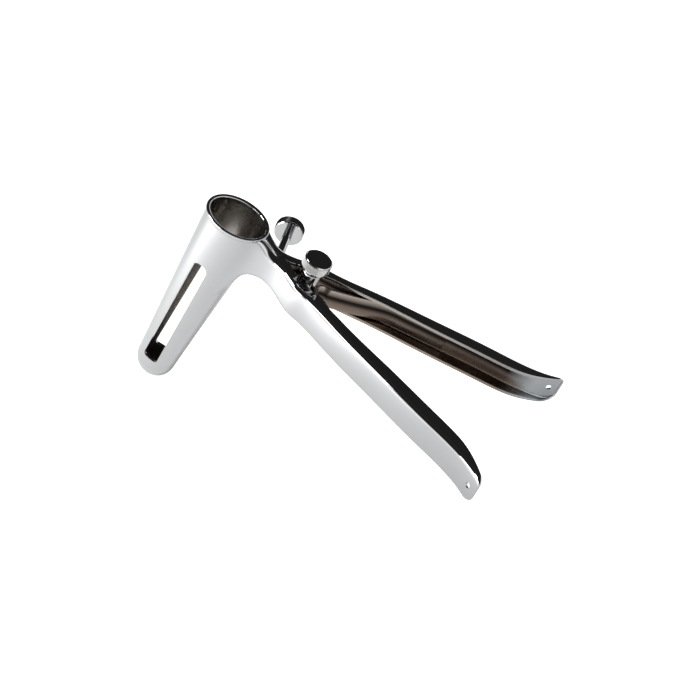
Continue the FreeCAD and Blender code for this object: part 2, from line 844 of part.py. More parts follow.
def stand(pieces):
    """Give every piece the one placement that stands the whole instrument on the ground."""
    turn = standing_turn()
    bounds = FreeCAD.BoundBox()
    for piece in pieces:
        shape = piece.Shape.copy()
        shape.Placement = Placement(Vector(0, 0, 0), turn) * shape.Placement
        bounds.add(shape.optimalBoundingBox(False, False))
    shift = Vector(-bounds.Center.x, -bounds.Center.y, -bounds.ZMin)
    whole = Placement(shift, turn)
    for piece in pieces:
        piece.Placement = whole * piece.Placement
    print("turn", turn.Angle, "shift", shift, "size", bounds.XLength, bounds.YLength, bounds.ZLength)
    return whole


blade_outside, rear_blade, front_blade = blades()
rear_handle, front_handle = handles(blade_outside)
pieces = [rear_blade, front_blade, rear_handle, front_handle]
pieces += knuckles()
pieces += pivot_screw()
pieces += opening_screw()
pieces.append(hairpin_spring())
doc.recompute()
for thing in doc.Objects:
    if "Invalid" in thing.State or "Error" in thing.State:
        raise RuntimeError("%s did not build: %s" % (thing.Name, thing.State))
    if hasattr(thing, "Shape") and (thing.Shape.isNull() or not thing.Shape.isValid()):
        raise RuntimeError("%s has no valid shape" % thing.Name)
    if hasattr(thing, "Shape") and thing in pieces and not thing.Shape.Solids:
        raise RuntimeError("%s is empty" % thing.Name)
stand(pieces)
doc.recompute()
os.makedirs("parts", exist_ok=True)
for piece in pieces:
    piece.Label = piece.Name
    print(piece.Name, len(piece.Shape.Solids), round(piece.Shape.Volume, 1))
    piece.Shape.exportStep("parts/%s.step" % piece.Name)
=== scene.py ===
# %% [markdown]
# A two-blade speculum in mirror-polished steel stands on its blade tip and its two handle ends. The
# imported CAD model fixes every size and place. This lesson dresses it: each cell says what one piece or
# finish is on the real instrument, and then makes it.
#
# First the frame is loaded, and the CAD parts are kept in their places in the world; those that are replaced
# are only hidden.

# %% Load the frame
import math

import bmesh
import bpy
from mathutils import Matrix, Vector
from mathutils.bvhtree import BVHTree


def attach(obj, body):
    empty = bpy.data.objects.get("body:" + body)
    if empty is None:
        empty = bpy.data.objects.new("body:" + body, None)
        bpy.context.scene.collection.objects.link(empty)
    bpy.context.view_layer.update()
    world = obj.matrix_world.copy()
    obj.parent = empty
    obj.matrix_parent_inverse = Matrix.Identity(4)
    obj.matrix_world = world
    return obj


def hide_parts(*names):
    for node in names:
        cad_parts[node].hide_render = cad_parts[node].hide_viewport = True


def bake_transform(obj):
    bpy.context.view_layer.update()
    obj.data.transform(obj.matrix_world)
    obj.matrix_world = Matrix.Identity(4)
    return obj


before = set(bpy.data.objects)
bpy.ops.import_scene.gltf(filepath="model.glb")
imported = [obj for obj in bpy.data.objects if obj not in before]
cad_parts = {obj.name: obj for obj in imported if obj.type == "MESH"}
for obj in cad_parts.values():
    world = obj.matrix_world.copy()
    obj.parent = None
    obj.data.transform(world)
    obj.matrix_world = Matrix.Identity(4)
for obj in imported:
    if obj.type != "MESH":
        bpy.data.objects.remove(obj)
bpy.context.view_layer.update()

# %% [markdown]
# The instrument is easier to draw in its own axes: z runs out of the mouth along the blades, x runs from
# the blades to the handles, and y from the front half to the rear half. One matrix then stands it on the
# ground as the CAD does: it turns them about y and moves the middle of the mouth to its place. All the
# numbers below are millimetres until they are scaled to metres by that matrix.

# %% Stand the instrument up
MM = 0.001
STAND_TURN = math.radians(28.822)
MOUTH = Vector((-34.110, 0.0, 82.733))
STAND = Matrix.Scale(MM, 4) @ Matrix.Translation(MOUTH) @ Matrix.Rotation(STAND_TURN, 4, "Y")
print("mouth centre stands at", [round(v * 1000, 1) for v in STAND @ Vector((0, 0, 0))])


# %% [markdown]
# A mirror shows every facet, so shading matters as much as shape. After holes have been cut, each corner
# of the mesh takes its normal from the smooth surface as it was before the cuts. Flat faces such as the
# seam keep their own.

# %% The smooth surface before it is cut
SURFACE_REACH = 0.03


def surface_of(*sheets):
    """A search tree and vertex normals of smooth sheets, kept before they are cut."""
    points = []
    triangles = []
    corners = []
    for sheet in sheets:
        copy = sheet.copy()
        bmesh.ops.triangulate(copy, faces=copy.faces)
        copy.normal_update()
        copy.verts.index_update()
        first = len(points)
        points += [v.co.copy() for v in copy.verts]
        for face in copy.faces:
            triangles.append([v.index + first for v in face.verts])
            corners.append([(v.co.copy(), v.normal.copy()) for v in face.verts])
        copy.free()
    return BVHTree.FromPolygons(points, triangles, all_triangles=True), corners


def smooth_normal(surface, point):
    """The smooth surface's normal nearest to a point, and how far away it is."""
    tree, corners = surface
    spot, flat, index, away = tree.find_nearest(point)
    if index is None:
        return None, 1e9
    (a, na), (b, nb), (c, nc) = corners[index]
    area = (b - a).cross(c - a)
    whole = area.length_squared
    if whole == 0:
        return flat, away
    share_a = (c - b).cross(spot - b).dot(area) / whole
    share_b = (a - c).cross(spot - c).dot(area) / whole
    share_c = 1 - share_a - share_b
    return (na * share_a + nb * share_b + nc * share_c).normalized(), away


print("normals are taken within", SURFACE_REACH, "mm of the smooth surface")


# %% [markdown]
# A corner takes the smooth surface's normal only where it lies on that surface and its face looks the
# same way. All other corners keep the normal that the mesh gave them.

# %% Polish a mesh
def polish(mesh, surface):
    """Give each corner that lies on the smooth surface that surface's own normal."""
    normals = [Vector(n.vector) for n in mesh.corner_normals]
    points = [v.co.copy() for v in mesh.vertices]
    for face in mesh.polygons:
        guide, away = smooth_normal(surface, face.center)
        if guide is None or away > SURFACE_REACH or guide.dot(face.normal) < 0.9:
            continue
        for corner in face.loop_indices:
            point = points[mesh.loops[corner].vertex_index]
            normal, gap = smooth_normal(surface, point)
            if gap < SURFACE_REACH and normal.dot(face.normal) > 0.8:
                normals[corner] = normal
    mesh.normals_split_custom_set(normals)


print("polish is ready")


# %% [markdown]
# Every piece is finished in the same order: it is cut, its edges are rounded, it is shaded and polished,
# it gets its steels, and the matrix stands it up.

# %% Finish a piece
def finish_piece(name, bm, body, nodes, materials, surface=None, cutters=(), edge=0.0, sharp=35.0,
                 loose=False, pick=None):
    """Make an object from a bmesh in instrument axes, cut it, round its edges and stand it up."""
    mesh = bpy.data.meshes.new(name)
    bm.to_mesh(mesh)
    bm.free()
    piece = bpy.data.objects.new(name, mesh)
    bpy.context.scene.collection.objects.link(piece)
    for cutter in cutters:
        cut = piece.modifiers.new("Cut", "BOOLEAN")
        cut.object = cutter
        cut.operation = "DIFFERENCE"
        cut.solver = "EXACT"
        cut.use_self = cutter.name == "blade_block"
    if edge:
        round_edges = piece.modifiers.new("Edges", "BEVEL")
        round_edges.width = edge
        round_edges.segments = 3
        round_edges.limit_method = "ANGLE"
        round_edges.angle_limit = math.radians(sharp)
        round_edges.use_clamp_overlap = True
    if piece.modifiers:
        bpy.context.view_layer.update()
        evaluated = piece.evaluated_get(bpy.context.evaluated_depsgraph_get())
        mesh = bpy.data.meshes.new_from_object(evaluated)
        piece.modifiers.clear()
        piece.data = mesh
    mesh.shade_smooth()
    mesh.set_sharp_from_angle(angle=math.radians(sharp))
    if surface:
        polish(mesh, surface)
    mesh.materials.clear()
    for material in materials:
        mesh.materials.append(material)
    if pick:
        for face in mesh.polygons:
            face.material_index = pick(face)
    mesh.transform(STAND)
    if not loose:
        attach(piece, body)
    if nodes:
        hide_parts(*nodes)
    print(name, len(mesh.polygons), "faces")
    return piece


print("mouth and ground are", round(MOUTH.z, 1), "mm apart")


# %% [markdown]
# Polished steel is one material all over the instrument. Real polish isn't perfect: fine buffing lines
# and faint smears change how sharp the reflections are from place to place. Both are made once, in a
# node group with its own inputs, so that the knobs and the spring can use the same wear with other
# values.

# %% Node group for buffing lines and smears
def wear_group():
    group = bpy.data.node_groups.new("Buffing wear", "ShaderNodeTree")
    socket = group.interface.new_socket
    socket(name="Smear scale", in_out="INPUT", socket_type="NodeSocketFloat").default_value = 90.0
    socket(name="Line scale", in_out="INPUT", socket_type="NodeSocketFloat").default_value = 2500.0
    socket(name="Lowest roughness", in_out="INPUT", socket_type="NodeSocketFloat").default_value = 0.04
    socket(name="Highest roughness", in_out="INPUT", socket_type="NodeSocketFloat").default_value = 0.12
    socket(name="Line depth", in_out="INPUT", socket_type="NodeSocketFloat").default_value = 0.05
    socket(name="Roughness", in_out="OUTPUT", socket_type="NodeSocketFloat")
    socket(name="Normal", in_out="OUTPUT", socket_type="NodeSocketVector")
    nodes = group.nodes
    links = group.links
    given = nodes.new("NodeGroupInput")
    result = nodes.new("NodeGroupOutput")
    place = nodes.new("ShaderNodeTexCoord")
    smear = nodes.new("ShaderNodeTexNoise")
    smear.inputs["Detail"].default_value = 4.0
    spread = nodes.new("ShaderNodeMapRange")
    spread.inputs["From Min"].default_value = 0.35
    spread.inputs["From Max"].default_value = 0.7
    stretch = nodes.new("ShaderNodeMapping")
    stretch.inputs["Scale"].default_value = (0.06, 1.0, 1.0)
    lines = nodes.new("ShaderNodeTexNoise")
    lines.inputs["Detail"].default_value = 2.0
    bump = nodes.new("ShaderNodeBump")
    bump.inputs["Distance"].default_value = 0.00002
    links.new(place.outputs["Object"], smear.inputs["Vector"])
    links.new(given.outputs["Smear scale"], smear.inputs["Scale"])
    links.new(smear.outputs["Fac"], spread.inputs["Value"])
    links.new(given.outputs["Lowest roughness"], spread.inputs["To Min"])
    links.new(given.outputs["Highest roughness"], spread.inputs["To Max"])
    links.new(spread.outputs["Result"], result.inputs["Roughness"])
    links.new(place.outputs["Object"], stretch.inputs["Vector"])
    links.new(stretch.outputs["Vector"], lines.inputs["Vector"])
    links.new(given.outputs["Line scale"], lines.inputs["Scale"])
    links.new(lines.outputs["Fac"], bump.inputs["Height"])
    links.new(given.outputs["Line depth"], bump.inputs["Strength"])
    links.new(bump.outputs["Normal"], result.inputs["Normal"])
    return group


WEAR = wear_group()
print("wear group", [item.name for item in WEAR.interface.items_tree])


# %% [markdown]
# Each steel finish is a metal with the wear group plugged in. The finishes differ in colour, in the range
# of their roughness and in the depth of their lines: mirror-bright for the polished parts, lighter and
# rougher on the knurls, and dull inside the blades, where no buffing wheel reaches.

# %% Steel finishes
def steel(name, colour, lowest, highest, line_depth):
    material = bpy.data.materials.new(name)
    material.use_nodes = True
    nodes = material.node_tree.nodes
    links = material.node_tree.links
    shader = nodes["Principled BSDF"]
    shader.inputs["Base Color"].default_value = (*colour, 1.0)
    shader.inputs["Metallic"].default_value = 1.0
    wear = nodes.new("ShaderNodeGroup")
    wear.node_tree = WEAR
    wear.inputs["Lowest roughness"].default_value = lowest
    wear.inputs["Highest roughness"].default_value = highest
    wear.inputs["Line depth"].default_value = line_depth
    links.new(wear.outputs["Roughness"], shader.inputs["Roughness"])
    links.new(wear.outputs["Normal"], shader.inputs["Normal"])
    return material


POLISHED = steel("Polished steel", (0.5, 0.505, 0.51), 0.02, 0.06, 0.02)
KNURLED = steel("Knurled steel", (0.56, 0.56, 0.555), 0.1, 0.2, 0.1)
DULL = steel("Dull inside", (0.34, 0.32, 0.3), 0.22, 0.34, 0.3)
print("materials", [m.name for m in bpy.data.materials])

# %% [markdown]
# Inside the two handles the steel was never buffed. It keeps a brown tint, and painted light lies over it:
# a painted reflection makes it lighter under the upper flange, and a painted shade is a dark line along it.
# The spring strip has the same tint and the same painted bands. They follow the height in the channel,
# which is the object coordinate measured along the instrument's own upward direction. Towards the flared
# end, measured the other way, they give way to bright steel.

# %% Places along the instrument's axes
CHANNEL_TOP = -4.0
CHANNEL_FOOT = -17.9
CHANNEL_MIDDLE = -10.95


def along_axis(material, axis, low, high):
    """A value that goes from 0 to 1 between two places, in millimetres, along an instrument axis."""
    nodes = material.node_tree.nodes
    links = material.node_tree.links
    place = nodes.new("ShaderNodeTexCoord")
    along = nodes.new("ShaderNodeVectorMath")
    along.operation = "DOT_PRODUCT"
    stood = Matrix.Rotation(STAND_TURN, 3, "Y") @ Vector(axis)
    along.inputs[1].default_value = stood
    origin = (STAND @ Vector((0, 0, 0))).dot(stood)
    share = nodes.new("ShaderNodeMapRange")
    share.inputs["From Min"].default_value = origin + low * MM
    share.inputs["From Max"].default_value = origin + high * MM
    links.new(place.outputs["Object"], along.inputs[0])
    links.new(along.outputs["Value"], share.inputs["Value"])
    return share.outputs["Result"]


print("channel runs from", CHANNEL_FOOT, "to", CHANNEL_TOP, "mm")

# %% [markdown]
# The tint with its painted reflection and painted shade is a colour ramp from the channel's foot to its
# top, so that its zones can be set one by one. Towards the flare it is mixed away.

# %% Tinted steel with painted light inside the channels
# Stops from foot to top: the light stops near the top are a painted reflection, and the dark stops from 0.48
# to 0.59 are a painted shade line.
CHANNEL_TINT_AND_PAINTED_LIGHT = [(0.0, (0.36, 0.3, 0.25)), (0.16, (0.24, 0.19, 0.155)), (0.4, (0.15, 0.118, 0.095)),
                (0.48, (0.05, 0.038, 0.03)), (0.54, (0.008, 0.007, 0.006)), (0.59, (0.012, 0.01, 0.008)),
                (0.66, (0.14, 0.115, 0.095)), (0.78, (0.34, 0.3, 0.265)), (0.9, (0.42, 0.39, 0.36)),
                (1.0, (0.4, 0.37, 0.34))]


def channel_steel_and_painted_light():
    material = steel("Channel steel with painted light", (0.1, 0.08, 0.07), 0.2, 0.3, 0.3)
    nodes = material.node_tree.nodes
    links = material.node_tree.links
    tint_and_painted_light = nodes.new("ShaderNodeValToRGB")
    ramp = tint_and_painted_light.color_ramp
    for element, (position, colour) in zip(ramp.elements, (CHANNEL_TINT_AND_PAINTED_LIGHT[0], CHANNEL_TINT_AND_PAINTED_LIGHT[-1])):
        element.position = position
        element.color = (*colour, 1)
    for position, colour in CHANNEL_TINT_AND_PAINTED_LIGHT[1:-1]:
        ramp.elements.new(position).color = (*colour, 1)
    flare = nodes.new("ShaderNodeMix")
    flare.data_type = "RGBA"
    flare.inputs["B"].default_value = (0.5, 0.52, 0.54, 1)
    links.new(along_axis(material, (0, 0, 1), CHANNEL_FOOT, CHANNEL_TOP), tint_and_painted_light.inputs["Fac"])
    links.new(along_axis(material, (1, 0, 0), 122.0, 133.0), flare.inputs["Factor"])
    links.new(tint_and_painted_light.outputs["Color"], flare.inputs["A"])
    links.new(flare.outputs["Result"], nodes["Principled BSDF"].inputs["Base Color"])
    return material


CHANNEL = channel_steel_and_painted_light()
print("channel tint and painted light run over", round(CHANNEL_TOP - CHANNEL_FOOT, 1), "mm")


# %% [markdown]
# The two blades are a tapered oval tube with a domed tip, split lengthwise. On the real instrument each
# half is pressed or forged and then polished. Here the whole tube is drawn once: a circle is stretched
# into the mouth's oval, and its edge is extruded ring by ring down to the tip, first for the outside
# and then for the inside. The last rings shrink along a quarter ellipse, and the pole is one point.

# %% Rings of the blade tube
TUBE_SEGMENTS = 128
TUBE_LENGTH = 86.4
TIP_LENGTH = 9.1
BLADE_WALL = 1.3
MOUTH_HALF = 13.6
MOUTH_NARROWING = 1.6
TAPER = 5.1
TIP_NARROWING = 0.7
BLADE_LEAN = 4.0


def tube_oval(depth, wall):
    """Half length, half width and centre of the tube's oval at one depth below the mouth."""
    share = depth / TUBE_LENGTH
    half_x = MOUTH_HALF - TAPER * share
    half_y = half_x - MOUTH_NARROWING - TIP_NARROWING * share
    return half_x - wall, half_y - wall, -BLADE_LEAN * share


def tube_matrix(depth, wall, grow=0.0):
    """The matrix that turns a unit circle into the tube's oval at one depth."""
    half_x, half_y, centre = tube_oval(min(depth, TUBE_LENGTH + TIP_LENGTH), wall)
    squeeze = 1.0
    if depth > TUBE_LENGTH:
        squeeze = math.sqrt(max(1 - ((depth - TUBE_LENGTH) / (TIP_LENGTH - wall)) ** 2, 1e-6))
    scale = Matrix.Diagonal((half_x * squeeze + grow, half_y * squeeze + grow, 1.0, 1.0))
    return Matrix.Translation((centre, 0, -depth)) @ scale


def dome_depths(wall, steps):
    """The depths of the rings of the domed tip, evenly spread round its quarter ellipse."""
    reach = TIP_LENGTH - wall
    return [TUBE_LENGTH + reach * math.sin(math.pi / 2 * (i + 1) / (steps + 1)) for i in range(steps)]


def pull_rings(bm, edges, before, matrices):
    """Extrude a ring of edges through a row of matrices, and return the last ring."""
    for after in matrices:
        made = bmesh.ops.extrude_edge_only(bm, edges=edges)["geom"]
        verts = [g for g in made if isinstance(g, bmesh.types.BMVert)]
        edges = [g for g in made if isinstance(g, bmesh.types.BMEdge)]
        bmesh.ops.transform(bm, matrix=after @ before.inverted(), verts=verts)
        before = after
    return edges, verts


print("mouth is", 2 * MOUTH_HALF, "mm long and", round(2 * (MOUTH_HALF - MOUTH_NARROWING), 1), "mm wide")


# %% [markdown]
# The lip at the mouth is rolled a little outwards, so that it slides without an edge. It is drawn as a
# row of depths, each with how far the ring stands out there, and the inside is rounded the same way.

# %% The whole tube
LIP_PROFILE = [(2.4, 0.0), (2.0, 0.0), (1.8, 0.08), (1.65, 0.25), (1.45, 0.4), (1.2, 0.48), (0.9, 0.5),
               (0.6, 0.47), (0.35, 0.38), (0.15, 0.22), (0.04, 0.02), (0.0, -0.25)]
LIP_INSIDE = [(0.02, 0.55), (0.1, 0.9), (0.35, 1.2), (0.8, BLADE_WALL)]


def closed_tube():
    """The whole hollow tube with its domed tip and its rounded lip."""
    bm = bmesh.new()
    lip_foot = LIP_PROFILE[0][0]
    tip_x = tube_oval(TUBE_LENGTH + TIP_LENGTH, 0)[2]
    straight = [lip_foot + (TUBE_LENGTH - lip_foot) * i / 60 for i in range(61)]
    first = tube_matrix(straight[0], 0.0)
    bmesh.ops.create_circle(bm, cap_ends=False, radius=1.0, segments=TUBE_SEGMENTS, matrix=first)
    lip_edges = list(bm.edges)
    outside = [tube_matrix(d, 0.0) for d in straight[1:] + dome_depths(0.0, 20)]
    edges, verts = pull_rings(bm, lip_edges, first, outside)
    bmesh.ops.pointmerge(bm, verts=verts, merge_co=Vector((tip_x, 0, -TUBE_LENGTH - TIP_LENGTH)))
    rim = [tube_matrix(d, 0.0, grow) for d, grow in LIP_PROFILE[1:]]
    rim += [tube_matrix(d, inset) for d, inset in LIP_INSIDE]
    mouth_edges = [e for e in bm.edges if e.is_boundary]
    edges, verts = pull_rings(bm, mouth_edges, first, rim)
    inside = [tube_matrix(d, BLADE_WALL) for d in straight + dome_depths(BLADE_WALL, 20)]
    edges, verts = pull_rings(bm, edges, rim[-1], inside)
    bmesh.ops.pointmerge(bm, verts=verts, merge_co=Vector((tip_x, 0, BLADE_WALL - TUBE_LENGTH - TIP_LENGTH)))
    bmesh.ops.recalc_face_normals(bm, faces=bm.faces)
    return bm


tube = closed_tube()
print("whole tube", len(tube.faces), "faces")

# %% [markdown]
# A plane then splits the tube at the seam, and the thin cut face is filled. The window is a long slot
# with a round top and a squarer foot. It is cut with a solid of that outline: a flat outline made from
# a rectangle whose corners are rounded, then extruded right through.


# %% Window cutter
SEAM = 0.15
WINDOW_TOP = 23.2
WINDOW_FOOT = 84.0
WINDOW_WIDTH = 6.8
WINDOW_OFFSET = 1.0
WINDOW_TOP_ROUND = 3.1
WINDOW_FOOT_ROUND = 1.4


def window_outline():
    """The window's outline as a solid, placed across the leaning blades."""
    bm = bmesh.new()
    half = WINDOW_WIDTH / 2
    length = WINDOW_FOOT - WINDOW_TOP
    bmesh.ops.create_grid(bm, x_segments=1, y_segments=1, size=1.0,
                          matrix=Matrix.Diagonal((half, length / 2, 1.0, 1.0)))
    top = [v for v in bm.verts if v.co.y > 0]
    bmesh.ops.bevel(bm, geom=top, offset=WINDOW_TOP_ROUND, segments=12, profile=0.5, affect="VERTICES",
                    material=-1)
    foot = [v for v in bm.verts if v.co.y < -length / 2 + 0.01]
    bmesh.ops.bevel(bm, geom=foot, offset=WINDOW_FOOT_ROUND, segments=8, profile=0.5, affect="VERTICES",
                    material=-1)
    made = bmesh.ops.extrude_face_region(bm, geom=bm.faces[:])["geom"]
    raised = [g for g in made if isinstance(g, bmesh.types.BMVert)]
    bmesh.ops.translate(bm, vec=(0, 0, 60), verts=raised)
    bmesh.ops.translate(bm, vec=(0, 0, -30), verts=bm.verts)
    bmesh.ops.recalc_face_normals(bm, faces=bm.faces)
    lean = math.atan2(BLADE_LEAN, TUBE_LENGTH)
    middle = (WINDOW_TOP + WINDOW_FOOT) / 2
    centre = Vector((-WINDOW_OFFSET - BLADE_LEAN * middle / TUBE_LENGTH, 0, -middle))
    place = Matrix.Translation(centre) @ Matrix.Rotation(lean, 4, "Y") @ Matrix.Rotation(math.pi / 2, 4, "X")
    bmesh.ops.transform(bm, matrix=place, verts=bm.verts)
    return bm


def cutter_object(name, bm):
    """A solid that other pieces are cut with; it is deleted at the end."""
    mesh = bpy.data.meshes.new(name)
    bm.to_mesh(mesh)
    bm.free()
    cutter = bpy.data.objects.new(name, mesh)
    bpy.context.scene.collection.objects.link(cutter)
    CUTTERS.append(cutter)
    return cutter


CUTTERS = []
window = cutter_object("window_cutter", window_outline())
print("window cutter", [round(v, 1) for v in window.dimensions])


# %% [markdown]
# The front half mirrors the rear half, so one function makes both from the same tube. Mirroring turns
# a shape inside out, so its normals are made afresh.

# %% The two blades
def half_blade(side):
    """One half of the tube, closed at the seam, and the whole tube's smooth surface."""
    bm = tube.copy()
    surface = surface_of(bm)
    geometry = bm.verts[:] + bm.edges[:] + bm.faces[:]
    bmesh.ops.bisect_plane(bm, geom=geometry, plane_co=(0, side * SEAM, 0), plane_no=(0, side, 0),
                           clear_inner=True)
    border = [e for e in bm.edges if e.is_boundary]
    bmesh.ops.holes_fill(bm, edges=border, sides=0)
    bmesh.ops.recalc_face_normals(bm, faces=bm.faces)
    return bm, surface


def inside_tube(face):
    """1 for the faces of the bore, which are dull, and 0 for the polished ones."""
    spot = face.center
    half_x, half_y, centre = tube_oval(max(-spot.z, 0), BLADE_WALL - 0.1)
    if spot.z < -TUBE_LENGTH:
        return int(Vector((spot.x - centre, spot.y, spot.z + TUBE_LENGTH)).dot(face.normal) < 0)
    return int(spot.z < -0.9 and ((spot.x - centre) / half_x) ** 2 + (spot.y / half_y) ** 2 < 1)


HALVES = ((1, "rear", "rear_half"), (-1, "front", "front_half"))
for side, half, body in HALVES:
    bm, surface = half_blade(side)
    finish_piece(half + "_blade_polished", bm, body, [half + "_blade"], [POLISHED, DULL], pick=inside_tube,
                 surface=surface, cutters=[window], edge=0.12)

# %% [markdown]
# Shoulder, arm and handle of one half are a single bent shell: a channel with its web outside and two
# flanges turned inwards. Its plan is one smooth curve with a neck, a bow round the hinge, a long grip
# and a flare. Its side view starts tall at the blade and narrows to the channel. A section of the shell
# is extruded from station to station along that path.


# %% A smooth curve through points
def curve_through(points):
    """A natural cubic curve y(x) through points, as a function."""
    xs = [p[0] for p in points]
    ys = [p[1] for p in points]
    n = len(xs)
    steps = [xs[i + 1] - xs[i] for i in range(n - 1)]
    upper = [0.0] * n
    value = [0.0] * n
    for i in range(1, n - 1):
        bend = 3 * ((ys[i + 1] - ys[i]) / steps[i] - (ys[i] - ys[i - 1]) / steps[i - 1])
        pivot = 2 * (xs[i + 1] - xs[i - 1]) - steps[i - 1] * upper[i - 1]
        upper[i] = steps[i] / pivot
        value[i] = (bend - steps[i - 1] * value[i - 1]) / pivot
    second = [0.0] * n
    for i in range(n - 2, 0, -1):
        second[i] = value[i] - upper[i] * second[i + 1]

    def at(x):
        i = 0
        while i < n - 2 and x > xs[i + 1]:
            i += 1
        h = steps[i]
        t = x - xs[i]
        slope = (ys[i + 1] - ys[i]) / h - h * (second[i + 1] + 2 * second[i]) / 3
        return ys[i] + slope * t + second[i] * t * t + (second[i + 1] - second[i]) / (3 * h) * t ** 3

    return at


half_way = curve_through([(0, 0), (1, 1), (2, 0)])(0.5)
print("a curve over three points passes", round(half_way, 3), "half way to the top")


# %% [markdown]
# Beside the blade the handle's outer curve has to start on the blade's own oval, which shrinks with
# depth. So there is a row of plans, one for each of 25 depths, which share their points from the neck on.

# %% Plans of one half
PLAN_STEPS = 24
HINGE_X = 37.1


def plan_points(depth):
    """Points of the handle's outer curve for one depth of the blade beside it."""
    half_x, half_y, centre = tube_oval(depth, 0.0)
    root = []
    for angle, inward in ((78.0, 0.93), (47.0, 0.995)):
        turn = math.radians(angle)
        root.append((centre + half_x * inward * math.cos(turn), half_y * inward * math.sin(turn)))
    waist = (0.55 * root[1][0] + 0.45 * 16.5, 0.55 * root[1][1] + 0.45 * 4.75 - 0.2 * (root[1][1] - 4.6))
    return root + [waist, (16.5, 4.75), (21.5, 4.6), (29.74, 7.108), (36.95, 11.06), (42.1, 12.2),
                   (59.3, 17.322), (85.1, 24.644), (110.9, 31.535), (128.1, 35.888), (133.86, 38.168),
                   (138.468, 40.752), (142.5, 43.488)]


PLANS = [curve_through(plan_points(32.5 * i / PLAN_STEPS)) for i in range(PLAN_STEPS + 1)]
plan_at = PLANS[0]
print("plan at the hinge", round(plan_at(HINGE_X), 2))

# %% [markdown]
# The side view is drawn with two such curves, one for the top edge and one for the foot edge. Each is
# followed by its own length, so that a station joins a point of the top edge to the matching point of
# the foot edge.


# %% Side view of the shell
GRIP_START = 37.0
END_X = 142.5
END_MIDDLE = -9.95
LEVEL = {"top": CHANNEL_TOP, "foot": CHANNEL_FOOT}
CORNER = {"top": 2.6, "foot": 4.6}


def path_through(points):
    """A smooth path in the side view, as a function of share from 0 to 1."""
    lengths = [0.0]
    for a, b in zip(points, points[1:]):
        lengths.append(lengths[-1] + math.dist(a, b))
    along_x = curve_through([(l, p[0]) for l, p in zip(lengths, points)])
    along_z = curve_through([(l, p[1]) for l, p in zip(lengths, points)])
    return lambda share: Vector((along_x(share * lengths[-1]), 0, along_z(share * lengths[-1])))


SHOULDER = {
    "top": path_through([(3.0, -0.85), (7.5, -0.85), (10.5, -0.88), (13.2, -1.0), (16.0, -2.1), (18.8, -3.35),
                         (22.5, -3.95), (29.0, -4.0), (GRIP_START, CHANNEL_TOP)]),
    "foot": path_through([(2.5, -39.5), (5.6, -37.8), (8.0, -35.0), (9.3, -31.5), (10.6, -28.0),
                          (11.9, -23.8), (13.6, -19.9), (17.0, -17.6), (22.0, -16.7), (28.0, -17.2),
                          (GRIP_START, CHANNEL_FOOT)]),
}


def end_corner(share, edge):
    """The rounded corner at the handle's end, from the straight edge to the upright cut."""
    turn = math.pi / 2 * share
    sign = 1 if edge == "top" else -1
    size = CORNER[edge]
    return Vector((END_X - size + size * math.sin(turn), 0, LEVEL[edge] - sign * size * (1 - math.cos(turn))))


def edge_point(edge, station):
    """A point of the top or foot edge. Stations 0 to 1 are the shoulder, 1 to 2 the grip, 2 to 3 the
    end's corner, and 3 to 4 the upright end, where the two edges meet."""
    if station <= 1:
        return SHOULDER[edge](station)
    if station <= 2:
        return Vector((GRIP_START + (END_X - CORNER[edge] - GRIP_START) * (station - 1), 0, LEVEL[edge]))
    if station <= 3:
        return end_corner(station - 2, edge)
    meeting = Vector((END_X, 0, END_MIDDLE))
    return end_corner(1.0, edge).lerp(meeting, station - 3)


def edge_outward(edge, station):
    """The direction out of the shell across an edge, in the side view."""
    step = 0.002
    a = edge_point(edge, max(station - step, 0))
    b = edge_point(edge, min(station + step, 4))
    along = (b - a).normalized()
    out = Vector((-along.z, 0, along.x))
    return out if edge == "top" else -out


print("top edge ends at", [round(v, 1) for v in edge_point("top", 3)])


# %% [markdown]
# One section of the shell runs from the free rim of the top flange, round the bend, down the web, round
# the lower bend and out to the rim of the foot flange. The flanges start at the seam by the blade, keep
# clear of the hinge, and grow narrower towards the end of the handle.

# %% Free rims of the flanges
NOTCH_START = 25.2
BOW_END = 47.0
rim_near = curve_through([(NOTCH_START, SEAM), (28.0, 1.0), (31.1, 2.9), (34.0, 4.5), (HINGE_X, 5.4),
                          (41.5, 6.2), (BOW_END, 8.4)])
rim_depth = curve_through([(42.0, 5.0), (BOW_END, 5.05), (60.0, 5.4), (76.0, 6.0), (90.0, 6.6),
                           (104.0, 6.9), (120.0, 6.7), (128.0, 6.0), (134.0, 4.5), (139.0, 3.0),
                           (142.6, 1.75)])


def smooth_step(x, low, high):
    """A value that eases from 0 at the low place to 1 at the high one."""
    share = min(max((x - low) / (high - low), 0), 1)
    return share * share * (3 - 2 * share)


def rim_at(x):
    """The free rim's distance from the middle plane."""
    if x <= NOTCH_START:
        return SEAM
    if x <= BOW_END:
        blend = smooth_step(x, 41.0, BOW_END)
        return rim_near(x) * (1 - blend) + (plan_at(x) - rim_depth(max(x, 42.0))) * blend
    return plan_at(x) - rim_depth(x)


print("rims stand", round(2 * rim_at(HINGE_X), 1), "mm apart at the hinge")


# %% [markdown]
# Beside the blade the web follows whichever stands out more, its own plan or the blade, with a soft
# change from one to the other. Near its first rows it sinks just below the blade's surface, so that no
# edge shows where the two meet. Along the grip it is crowned, a little fuller at half its height.

# %% Web of the shell
CROWN = 0.5
WEB_BLEND = 1.5


